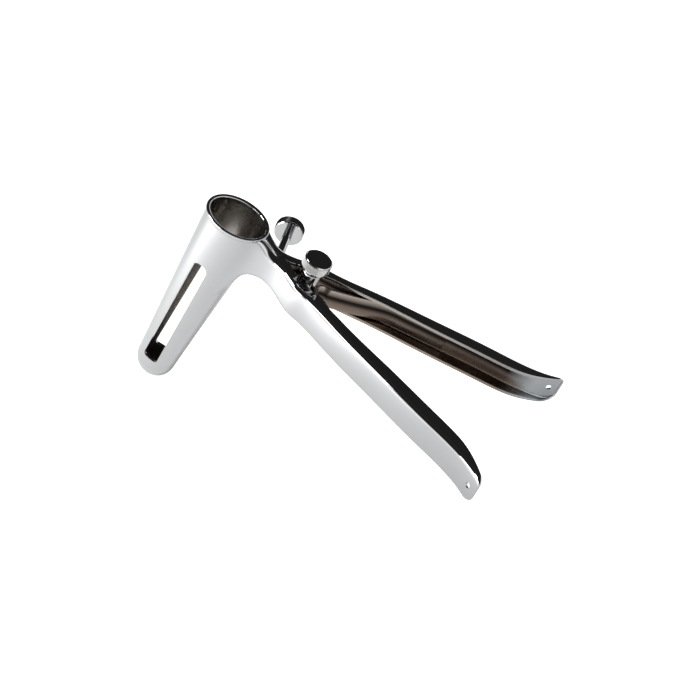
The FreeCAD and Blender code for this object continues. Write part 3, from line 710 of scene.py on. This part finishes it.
def web_at(x, z):
    """The outer face of the web, which leaves the blade's own surface without a crease."""
    share = min(max((1.0 - z) / 33.5, 0), 1) * PLAN_STEPS
    i = min(int(share), PLAN_STEPS - 1)
    y = PLANS[i](x) * (1 - share + i) + PLANS[i + 1](x) * (share - i)
    half_x, half_y, centre = tube_oval(max(-z, 0), 0.0)
    reach = 1 - ((x - centre) / half_x) ** 2
    if reach <= 0:
        return y
    blade = half_y * math.sqrt(reach)
    near = max(WEB_BLEND - abs(blade - y), 0) / WEB_BLEND
    sink = 0.08 * smooth_step(blade - y, 0.3, 1.5) + 0.12 * (1 - smooth_step(x, 2.5, 6.0))
    sink += 1.6 * smooth_step(-z, 29.0, 38.0) ** 2
    return max(blade, y) + near ** 3 * WEB_BLEND / 6 - sink


def face_at(x, z):
    """The web's outer face with its crown: the grip is a little fuller at half its height."""
    across = (z - (CHANNEL_TOP + CHANNEL_FOOT) / 2) / ((CHANNEL_TOP - CHANNEL_FOOT) / 2)
    return web_at(x, z) - CROWN * smooth_step(x, 22.0, 45.0) * min(across * across, 1)


print("web at the hinge", round(face_at(HINGE_X, CHANNEL_MIDDLE), 2))


# %% [markdown]
# The bends between the web and the flanges are wide at the shoulder and tighter along the grip. At the
# shoulder the mouth's rim runs on along the bend as a low ridge.

# %% Section of the shell
BEND = 1.6
SHOULDER_BEND = 2.4
RIDGE = 0.75
SHELL_WALL = 1.5
FLANGE_SHARES = (0.0, 0.5, 0.6, 0.7, 0.8, 0.9, 1.0)


def bend_at(x, edge):
    """The bend's radius: wide where the arm leaves the blade, tighter along the grip."""
    if edge == "foot":
        return BEND
    return BEND + (SHOULDER_BEND - BEND) * smooth_step(x, 9.0, 15.0) * (1 - smooth_step(x, 18.0, 30.0))


def ridge_at(x):
    """The mouth's rim runs on as a low ridge down the outer edge of the shoulder."""
    return RIDGE * smooth_step(x, 9.0, 12.5) * (1 - smooth_step(x, 16.5, 24.0))


def section(station, web_steps=12, bend_steps=8):
    """The points of one section, from the top flange's rim round to the foot flange's."""
    halves = []
    for edge in ("top", "foot"):
        spot = edge_point(edge, station)
        out = edge_outward(edge, station)
        row = []
        face = face_at(spot.x, spot.z)
        crowned = (web_at(spot.x, spot.z) - face) * smooth_step(spot.x, 40.0, 60.0)
        rim = min(rim_at(spot.x) - crowned, face - 0.4)
        bend = min(bend_at(spot.x, edge), max(face - rim - 0.65, 0.2))
        raised = ridge_at(spot.x) if edge == "top" else 0
        for share in FLANGE_SHARES:
            lift = out * raised * smooth_step(share, 0.3, 1.0)
            row.append(Vector((spot.x, rim + (face - bend - rim) * share, spot.z)) + lift)
        for i in range(1, bend_steps + 1):
            turn = math.pi / 2 * i / bend_steps
            inward = spot - out * (bend * (1 - math.cos(turn)) - raised * (1 - i / bend_steps))
            round_y = face_at(inward.x, inward.z) - bend + bend * math.sin(turn)
            row.append(Vector((inward.x, round_y, inward.z)))
        halves.append(row)
    top, foot = halves
    web = []
    sag = 0.9 * math.sin(math.pi / 2 * min(max(station - 2, 0), 1)) * min(4 - station, 1)
    for i in range(1, web_steps):
        spot = top[-1].lerp(foot[-1], i / web_steps)
        spot.x -= sag * (1 - (2 * i / web_steps - 1) ** 2)
        web.append(Vector((spot.x, face_at(spot.x, spot.z), spot.z)))
    return top + web + foot[::-1]


print("section points", len(section(0.5)))

# %% [markdown]
# The first section is a chain of vertices joined by edges. Extruding that chain and placing each new
# row on the next station gives the outer face of the shell.


# %% Sweep the shell
def stations():
    """Where the sections stand: close at the shoulder and round the end's corners."""
    spots = [i / 44 for i in range(45)]
    spots += [1 + i / 70 for i in range(1, 71)]
    spots += [2 + i / 10 for i in range(1, 11)]
    spots += [3 + i / 6 for i in range(1, 7)]
    return spots


def wall_at(x):
    """The sheet is thinned a little towards the flared end."""
    return SHELL_WALL - 0.65 * smooth_step(x, 130.0, 140.0)


def swept_sheet():
    """The outer face of one half: a chain of edges, extruded from station to station."""
    bm = bmesh.new()
    row = [bm.verts.new(p) for p in section(0.0)]
    edges = [bm.edges.new(pair) for pair in zip(row, row[1:])]
    for station in stations()[1:]:
        made = bmesh.ops.extrude_edge_only(bm, edges=edges)["geom"]
        edges = [g for g in made if isinstance(g, bmesh.types.BMEdge)]
        fresh = {v for v in made if isinstance(v, bmesh.types.BMVert)}
        following = []
        for old in row:
            following.append(next(e.other_vert(old) for e in old.link_edges if e.other_vert(old) in fresh))
        for vert, spot in zip(following, section(station)):
            vert.co = spot
        row = following
    bmesh.ops.remove_doubles(bm, verts=row, dist=1e-3)
    bmesh.ops.recalc_face_normals(bm, faces=bm.faces)
    middle = min(bm.faces, key=lambda f: (f.calc_center_median() - Vector((90, plan_at(90), -11))).length)
    if middle.normal.y < 0:
        bmesh.ops.reverse_faces(bm, faces=bm.faces)
    bm.normal_update()
    return bm


print("stations", len(stations()))

# %% [markdown]
# A copy of the sheet, turned over and moved inwards along its normals, is the inner face. The two are
# bridged along their rims, and the rims that stay open to the eye are rounded. Solidify would do this in
# one step, but it throws points far out at the handle's end, where the last rows meet.

# %% Give the sheet its wall
RIM_ROUND = 0.3


def shell(side):
    """The shell with its wall, and its outer and inner sheets as they were before the rims."""
    bm = swept_sheet()
    outer = bm.copy()
    doubled = bmesh.ops.duplicate(bm, geom=bm.verts[:] + bm.edges[:] + bm.faces[:])["geom"]
    inside = [g for g in doubled if isinstance(g, bmesh.types.BMVert)]
    bmesh.ops.reverse_faces(bm, faces=[g for g in doubled if isinstance(g, bmesh.types.BMFace)])
    bm.normal_update()
    moves = [(v, v.co + v.normal * wall_at(v.co.x)) for v in inside]
    for vert, spot in moves:
        vert.co = spot
    inner = bm.copy()
    bmesh.ops.delete(inner, geom=inner.faces[:len(outer.faces)], context="FACES")
    rims = [e for e in bm.edges if e.is_boundary]
    bmesh.ops.bridge_loops(bm, edges=rims)
    bmesh.ops.recalc_face_normals(bm, faces=bm.faces)
    rims = [e for e in rims if e.is_valid and min(v.co.x for v in e.verts) > 12.0]
    bmesh.ops.bevel(bm, geom=rims, offset=RIM_ROUND, segments=4, profile=0.5, affect="EDGES",
                    clamp_overlap=True, material=-1)
    if side < 0:
        for sheet in (outer, inner, bm):
            bmesh.ops.scale(sheet, vec=(1, -1, 1), verts=sheet.verts)
            bmesh.ops.reverse_faces(sheet, faces=sheet.faces)
    return bm, outer, inner


print("rims are rounded by", RIM_ROUND, "mm")


# %% [markdown]
# Two solids cut the shell. The blade's own solid, drawn a little small, ends it inside the blade's wall,
# and a round bar makes the small hole near its end.

# %% Cutters for the shell
BLOCK_INSET = 0.35


def blade_block():
    """The solid tube, a little smaller than the blade's outside, that the shell is cut with."""
    bm = bmesh.new()
    first = tube_matrix(0.0, BLOCK_INSET)
    bmesh.ops.create_circle(bm, cap_ends=True, radius=1.0, segments=TUBE_SEGMENTS, matrix=first)
    bmesh.ops.delete(bm, geom=bm.faces[:], context="FACES_ONLY")
    rings = [tube_matrix(TUBE_LENGTH * i / 30, BLOCK_INSET) for i in range(1, 31)]
    edges, verts = pull_rings(bm, bm.edges[:], first, rings)
    bmesh.ops.holes_fill(bm, edges=edges, sides=0)
    above = [e for e in bm.edges if e.is_boundary]
    edges, verts = pull_rings(bm, above, first, [Matrix.Translation((0, 0, 5)) @ first])
    bmesh.ops.holes_fill(bm, edges=edges, sides=0)
    bmesh.ops.recalc_face_normals(bm, faces=bm.faces)
    return cutter_object("blade_block", bm)


def rod_between(name, start, end, radius, segments=48):
    """A capped round bar between two points."""
    bm = bmesh.new()
    axis = end - start
    turn = axis.to_track_quat("Z", "Y").to_matrix().to_4x4()
    bmesh.ops.create_cone(bm, cap_ends=True, segments=segments, radius1=radius, radius2=radius,
                          depth=axis.length, matrix=Matrix.Translation((start + end) / 2) @ turn)
    return cutter_object(name, bm)


block = blade_block()
print("blade block", [round(v, 1) for v in block.dimensions])


# %% [markdown]
# Everything within a hair of the outer sheet is polished. What lies deeper is the inside of the channel,
# and gets its tinted steel with its painted reflection and painted shade.

# %% The two handles
HOLE_RADIUS = 1.2
for side, half, body in HALVES:
    hole_spot = Vector((138.1, side * 40.522, CHANNEL_MIDDLE))
    hole_line = Vector((-0.5273, side * 0.8497, 0.0))
    hole = rod_between(half + "_hole_cutter", hole_spot - hole_line * 6, hole_spot + hole_line * 6,
                       HOLE_RADIUS)
    bm, outer, inner = shell(side)
    polished = BVHTree.FromBMesh(outer)
    # Inner faces take the channel steel, whose colour carries a painted reflection and a painted shade line.
    finish_piece(half + "_handle_polished", bm, body, [half + "_handle"], [POLISHED, CHANNEL],
                 surface=surface_of(outer, inner), cutters=[hole, block],
                 pick=lambda face: int(polished.find_nearest(face.center)[3] > 0.12))
    outer.free()
    inner.free()

# %% [markdown]
# Knuckles, collar, bush and screw shanks are turned parts. A turned part is one profile spun round its
# axis: the profile is a short chain of edges, and the spin operator makes the full turn.


# %% Turned parts
def turned(profile, place, segments=96):
    """Spin a profile of (radius, height) pairs round z, then place it."""
    bm = bmesh.new()
    verts = [bm.verts.new((r, 0, h)) for r, h in profile]
    edges = [bm.edges.new(pair) for pair in zip(verts, verts[1:])]
    bmesh.ops.spin(bm, geom=verts + edges, axis=(0, 0, 1), cent=(0, 0, 0), angle=2 * math.pi,
                   steps=segments, use_merge=True)
    bmesh.ops.remove_doubles(bm, verts=bm.verts, dist=1e-4)
    bmesh.ops.recalc_face_normals(bm, faces=bm.faces)
    bmesh.ops.transform(bm, matrix=place, verts=bm.verts)
    return bm


HINGE = Vector((HINGE_X, 0, 0))
BARREL_RADIUS = 4.2
PIVOT_BORE = 2.05
RUNNING_GAP = 0.3
lug_top = CHANNEL_TOP - SHELL_WALL - RUNNING_GAP
lug_foot = CHANNEL_FOOT + SHELL_WALL + RUNNING_GAP
knuckle_height = (lug_top - lug_foot - 2 * RUNNING_GAP) / 3
barrel_top = CHANNEL_TOP + 3.6
print("each knuckle is", round(knuckle_height, 2), "mm high")


# %% [markdown]
# The hinge has three knuckles: two on the front arm, and one on the rear arm between them. Each is a
# bored barrel with a lug that ties it to its handle. Only the upper one stands out above the flanges.

# %% Knuckles of the hinge
def knuckle(name, foot, lug_end, side, body, top=None):
    """A barrel with a bore, and the lug that ties it to its handle."""
    top = top or lug_end
    bore, r = PIVOT_BORE, BARREL_RADIUS
    ring = [(bore, foot), (r - 0.25, foot), (r, foot + 0.25), (r, top - 0.25), (r - 0.25, top), (bore, top),
            (bore, foot)]
    bm = turned(ring, Matrix.Translation(HINGE))
    reach = plan_at(HINGE_X) - SHELL_WALL - RUNNING_GAP
    lug = bmesh.ops.create_cube(bm, size=1.0)["verts"]
    middle = Vector((HINGE.x, side * (3.0 + reach) / 2, (foot + lug_end) / 2))
    shape = Matrix.Diagonal((5.6, reach - 3.0, lug_end - foot, 1.0))
    bmesh.ops.transform(bm, matrix=Matrix.Translation(middle) @ shape, verts=lug)
    bmesh.ops.recalc_face_normals(bm, faces=bm.faces)
    return finish_piece(name + "_polished", bm, body, [name], [POLISHED], edge=0.15)


knuckle("front_upper_knuckle", lug_top - knuckle_height, lug_top, -1, "front_half", top=barrel_top)
knuckle("rear_knuckle", lug_foot + knuckle_height + RUNNING_GAP, lug_top - knuckle_height - RUNNING_GAP, 1,
        "rear_half")
knuckle("front_lower_knuckle", lug_foot, lug_foot + knuckle_height, -1, "front_half")


# %% [markdown]
# A knurled knob has fine straight grooves, so that wet fingers can turn it. Its rim is a circle of many
# edges with every second vertex moved inwards, and the rings above it are extruded from that one, so
# the grooves are real. The top is flat and polished, with a small bevel at each end.

# %% Knurled knobs
KNURLS = 84
KNURL_DEPTH = 0.28
KNOB_BEVEL = 0.45
KNOB_RINGS = ((0.955, 0.02), (0.93, 0.2), (0.9, 0.45), (0.55, 0.45), (0.36, 0.45))


def knob(name, radius, height, place, body, node):
    """A knurled disc, polished flat at both ends."""
    bm = bmesh.new()
    bmesh.ops.create_circle(bm, cap_ends=False, radius=radius, segments=KNURLS * 2)
    ring = bm.edges[:]
    verts = bm.verts[:]
    grooves = [v for v in verts if v.index % 2]
    inner = (radius - KNURL_DEPTH) / radius
    bmesh.ops.scale(bm, vec=(inner, inner, 1), verts=grooves)
    bmesh.ops.translate(bm, vec=(0, 0, KNOB_BEVEL), verts=verts)
    made = bmesh.ops.extrude_edge_only(bm, edges=ring)["geom"]
    upper = [g for g in made if isinstance(g, bmesh.types.BMVert)]
    upper_ring = [g for g in made if isinstance(g, bmesh.types.BMEdge)]
    bmesh.ops.translate(bm, vec=(0, 0, height - 2 * KNOB_BEVEL), verts=upper)
    for edges, lift in ((upper_ring, 1), (ring, -1)):
        for shrink, rise in KNOB_RINGS:
            made = bmesh.ops.extrude_edge_only(bm, edges=edges)["geom"]
            fresh = [g for g in made if isinstance(g, bmesh.types.BMVert)]
            edges = [g for g in made if isinstance(g, bmesh.types.BMEdge)]
            level = (height - KNOB_BEVEL if lift > 0 else KNOB_BEVEL) + lift * rise
            for vert in fresh:
                flat = vert.co.to_2d().normalized() * radius * shrink
                vert.co = (flat.x, flat.y, level)
        bmesh.ops.holes_fill(bm, edges=edges, sides=0)
    bmesh.ops.recalc_face_normals(bm, faces=bm.faces)
    bmesh.ops.transform(bm, matrix=place, verts=bm.verts)
    axis = (place.to_3x3() @ Vector((0, 0, 1))).normalized()
    return finish_piece(name, bm, body, [node], [KNURLED, POLISHED], sharp=28.0,
                        pick=lambda face: int(abs(face.normal.dot(axis)) > 0.98))


print("knobs have", KNURLS, "grooves,", KNURL_DEPTH, "mm deep")

# %% [markdown]
# The pivot screw is one turned piece on the bench, but its shank, collar and knob differ in finish, so
# they are made apart. The collar bears on the top knuckle and the knob stands on it.

# %% Pivot screw
collar_foot = barrel_top + RUNNING_GAP
collar_top = collar_foot + 1.7
knob("pivot_knob_knurled", 6.0, 4.4, Matrix.Translation(HINGE + Vector((0, 0, collar_top))), "pivot_screw",
     "pivot_screw_knob")
collar = [(PIVOT_BORE, collar_foot), (4.1, collar_foot), (4.4, collar_foot + 0.3), (4.4, collar_top - 0.3),
          (4.1, collar_top), (PIVOT_BORE, collar_top), (PIVOT_BORE, collar_foot)]
finish_piece("pivot_collar_polished", turned(collar, Matrix.Translation(HINGE)), "pivot_screw",
             ["pivot_screw_collar"], [POLISHED])
shank_foot = CHANNEL_FOOT + SHELL_WALL - 2.4
shank_top = collar_top + 2.7
shank = [(0.0, shank_foot), (0.9, shank_foot), (1.5, shank_foot + 0.2), (1.85, shank_foot + 0.6),
         (2.0, shank_foot + 1.1), (2.0, shank_top), (0.0, shank_top)]
finish_piece("pivot_shank_polished", turned(shank, Matrix.Translation(HINGE)), "pivot_screw",
             ["pivot_screw_shank"], [POLISHED])

# %% [markdown]
# The opening screw passes through a bush in the rear arm and pushes on the front arm. It is drawn along
# its own axis first and then turned into place, square to the arm.

# %% Opening screw and bush
screw_spot = Vector((21.3, 4.581, CHANNEL_MIDDLE))
screw_line = Vector((-0.2554, 0.9668, 0.0)).normalized()
screw_turn = screw_line.to_track_quat("Z", "Y").to_matrix().to_4x4()
screw_place = Matrix.Translation(screw_spot) @ screw_turn
tip, stem_end = -7.615, 22.3
stem = [(0.0, tip), (0.7, tip + 0.08), (1.3, tip + 0.4), (1.7, tip + 0.9), (1.9, tip + 1.5), (1.9, stem_end),
        (0.0, stem_end)]
finish_piece("opening_stem_polished", turned(stem, screw_place), "opening_screw_stem",
             ["opening_screw_shank"], [POLISHED])
bush = [(1.95, -1.5), (3.0, -1.5), (3.2, -1.3), (3.2, 1.7), (2.9, 2.0), (1.95, 2.0), (1.95, -1.5)]
finish_piece("screw_bush_polished", turned(bush, screw_place), "rear_half", ["screw_bush"], [POLISHED])
knob("opening_knob_knurled", 6.15, 4.6, screw_place @ Matrix.Translation((0, 0, 19.6)), "opening_screw_head",
     "opening_screw_knob")

# %% [markdown]
# The hairpin spring is one flat strip. Its bend rests on the hinge and its legs lie along the inside of
# both handles. The line along its middle is drawn first, for one leg, and mirrored for the other.

# %% Line of the spring
SPRING_HALF = 0.4
SPRING_BEND = 3.6
SPRING_LANDING = 70.0
SPRING_REACH = 94.0
bend_x = HINGE_X + BARREL_RADIUS + RUNNING_GAP + SPRING_HALF + SPRING_BEND


def spring_line():
    """Points along the middle of the strip, from the front leg's nose round to the rear leg's."""
    def along_web(x):
        slope = (plan_at(x + 0.05) - plan_at(x - 0.05)) / 0.1
        away = SHELL_WALL + RUNNING_GAP + SPRING_HALF
        tilt = math.atan(slope)
        return Vector((x + away * math.sin(tilt), plan_at(x) - away * math.cos(tilt), 0))

    landing = along_web(SPRING_LANDING)
    leave = Vector((bend_x + 1.0, SPRING_BEND, 0))
    middle = leave.lerp(landing, 0.5)
    leg_y = curve_through([(leave.x, leave.y), (middle.x, middle.y), (landing.x, landing.y)]
                          + [along_web(x).to_2d()[:] for x in (76.0, 82.0, 88.0, SPRING_REACH)])
    upper = []
    for i in range(16):
        turn = math.radians(180 - 90 * i / 15)
        upper.append(Vector((bend_x + SPRING_BEND * math.cos(turn), SPRING_BEND * math.sin(turn), 0)))
    end = along_web(SPRING_REACH).x
    for i in range(1, 61):
        x = bend_x + (end - bend_x) * i / 60
        y = leg_y(x) if x > leave.x else SPRING_BEND
        upper.append(Vector((x, y, 0)))
    lower = [Vector((p.x, -p.y, 0)) for p in reversed(upper[1:])]
    return lower + upper


print("spring has", len(spring_line()), "points and bends at x", round(bend_x, 1))

# %% [markdown]
# The strip is this line as a chain of edges, extruded upwards and given its thickness. It joins two
# bodies that move, so it is left loose and belongs to neither. The cutters aren't needed any more and
# are deleted.

# %% Hairpin spring
SPRING_LIFTS = (0.25, 4.45, 4.45, 0.25)


def strip():
    """The strip: its line, extruded upwards by the lifts and then given its thickness."""
    bm = bmesh.new()
    foot = Vector((0, 0, CHANNEL_MIDDLE - sum(SPRING_LIFTS) / 2))
    verts = [bm.verts.new(p + foot) for p in spring_line()]
    edges = [bm.edges.new(pair) for pair in zip(verts, verts[1:])]
    for lift in SPRING_LIFTS:
        made = bmesh.ops.extrude_edge_only(bm, edges=edges)["geom"]
        edges = [g for g in made if isinstance(g, bmesh.types.BMEdge)]
        raised = [g for g in made if isinstance(g, bmesh.types.BMVert)]
        bmesh.ops.translate(bm, vec=(0, 0, lift), verts=raised)
    bmesh.ops.recalc_face_normals(bm, faces=bm.faces)
    bmesh.ops.solidify(bm, geom=bm.faces[:], thickness=SPRING_HALF * 2)
    bmesh.ops.recalc_face_normals(bm, faces=bm.faces)
    return bm


# The strip takes the channel's tinted steel, so its colour carries the same painted reflection and painted
# shade bands.
spring = finish_piece("hairpin_strip_satin_painted_light", strip(), "rear_half", ["hairpin_spring"], [CHANNEL], edge=0.1,
                      loose=True)
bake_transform(spring)
for cutter in CUTTERS:
    bpy.data.objects.remove(cutter)
tube.free()

# %% [markdown]
# The photograph is a studio picture on white. Polished steel has hardly any colour of its own: it shows
# the dark ceiling over it, the white card that it lies on and the bright walls near the horizon. The
# sky of the scene has those zones, by the direction's height.

# %% Sky of the studio
SKY_ZONES = ((0.02, 1.0), (0.2, 0.95), (0.28, 0.25), (0.34, 0.03), (0.6, 0.015))


def studio_sky():
    """Zones of light by height, which only the steel sees: other rays meet an even grey."""
    world = bpy.data.worlds.new("Studio")
    bpy.context.scene.world = world
    world.use_nodes = True
    nodes = world.node_tree.nodes
    links = world.node_tree.links
    background = nodes["Background"]
    place = nodes.new("ShaderNodeTexCoord")
    apart = nodes.new("ShaderNodeSeparateXYZ")
    zones = nodes.new("ShaderNodeMapRange")
    zones.inputs["From Min"].default_value = -0.1
    zones.inputs["From Max"].default_value = 1.0
    ramp = nodes.new("ShaderNodeValToRGB")
    ramp.color_ramp.elements[0].position = 0.0
    ramp.color_ramp.elements[0].color = (1.0, 1.0, 1.0, 1)
    ramp.color_ramp.elements[1].position = 1.0
    ramp.color_ramp.elements[1].color = (0.02, 0.02, 0.02, 1)
    for height, shade in SKY_ZONES:
        stop = ramp.color_ramp.elements.new((height + 0.1) / 1.1)
        stop.color = (shade, shade, shade, 1)
    light = nodes.new("ShaderNodeLightPath")
    even = nodes.new("ShaderNodeMath")
    even.operation = "MAXIMUM"
    blend = nodes.new("ShaderNodeMix")
    blend.data_type = "RGBA"
    blend.inputs["B"].default_value = (0.5, 0.5, 0.5, 1)
    links.new(place.outputs["Generated"], apart.inputs["Vector"])
    links.new(apart.outputs["Z"], zones.inputs["Value"])
    links.new(zones.outputs["Result"], ramp.inputs["Fac"])
    links.new(light.outputs["Is Diffuse Ray"], even.inputs[0])
    links.new(light.outputs["Is Camera Ray"], even.inputs[1])
    links.new(even.outputs["Value"], blend.inputs["Factor"])
    links.new(ramp.outputs["Color"], blend.inputs["A"])
    links.new(blend.outputs["Result"], background.inputs["Color"])
    background.inputs["Strength"].default_value = 1.45


studio_sky()
print("sky has", len(SKY_ZONES) + 2, "zones")

# %% [markdown]
# The card is lit evenly from all sides, and the lamps at the left give it soft shades. In the photograph
# these shades are washed out to white, so the card's own brightness is lifted where it is seen directly,
# and the steel still shows the shades in its reflections.

# %% White card and lamps
def floor():
    """The card, with a lift of its brightness for the camera's own rays."""
    bm = bmesh.new()
    bmesh.ops.create_circle(bm, cap_ends=True, radius=4.0, segments=96)
    mesh = bpy.data.meshes.new("studio_floor")
    bm.to_mesh(mesh)
    bm.free()
    sheet = bpy.data.objects.new("studio_floor", mesh)
    bpy.context.scene.collection.objects.link(sheet)
    paint = bpy.data.materials.new("White card")
    paint.use_nodes = True
    nodes = paint.node_tree.nodes
    links = paint.node_tree.links
    card = nodes["Principled BSDF"]
    card.inputs["Base Color"].default_value = (0.9, 0.9, 0.9, 1)
    card.inputs["Roughness"].default_value = 0.9
    lifted = nodes.new("ShaderNodeEmission")
    lifted.inputs["Strength"].default_value = 0.85
    seen = nodes.new("ShaderNodeLightPath")
    share = nodes.new("ShaderNodeMixShader")
    whole = nodes.new("ShaderNodeAddShader")
    links.new(card.outputs["BSDF"], whole.inputs[0])
    links.new(lifted.outputs["Emission"], whole.inputs[1])
    links.new(seen.outputs["Is Camera Ray"], share.inputs["Fac"])
    links.new(card.outputs["BSDF"], share.inputs[1])
    links.new(whole.outputs["Shader"], share.inputs[2])
    links.new(share.outputs["Shader"], nodes["Material Output"].inputs["Surface"])
    mesh.materials.append(paint)


def softbox(name, place, aim, width, height, power):
    """A rectangular lamp that looks at a point."""
    data = bpy.data.lights.new(name, "AREA")
    data.shape = "RECTANGLE"
    data.size = width
    data.size_y = height
    data.energy = power
    item = bpy.data.objects.new(name, data)
    bpy.context.scene.collection.objects.link(item)
    item.location = place
    item.rotation_euler = (Vector(aim) - Vector(place)).to_track_quat("-Z", "Y").to_euler()


floor()
softbox("low_left", (-0.3, -0.26, 0.17), (-0.24, -0.21, 0.0), 0.4, 0.2, 1.25)
softbox("high_left", (-0.7, -0.45, 0.75), (0, 0, 0.02), 0.35, 0.35, 4.6)
print("studio ready")

# %% [markdown]
# The camera stands where the photograph was taken from: a long lens, about thirty degrees above the
# level and a little to the left of square. Its place and turn were fitted to points of the instrument
# seen in the picture, in the instrument's own axes, so the same matrix stands it up.

# %% Camera
SENSOR = 36.0
PHOTO_WIDTH = 700
FOCAL_PIXELS = 2820
CAMERA_PLACE = Vector((197.8, -873.6, 689.9))
camera_data = bpy.data.cameras.new("camera")
camera_data.sensor_width = SENSOR
camera_data.lens = SENSOR * FOCAL_PIXELS / PHOTO_WIDTH
camera_data.clip_end = 20.0
camera = bpy.data.objects.new("camera", camera_data)
bpy.context.scene.collection.objects.link(camera)
right = Vector((0.811, 0.439, 0.388)).normalized()
ahead = Vector((-0.116, 0.770, -0.628))
ahead = (ahead - right * ahead.dot(right)).normalized()
down = ahead.cross(right)
turn = Matrix((right, -down, -ahead)).transposed()
stand_turn = Matrix.Rotation(STAND_TURN, 3, "Y")
camera.matrix_world = Matrix.Translation(STAND @ CAMERA_PLACE) @ (stand_turn @ turn).to_4x4()
bpy.context.scene.camera = camera
bpy.context.scene.view_settings.view_transform = "Standard"
print("camera at", [round(v, 3) for v in camera.location])
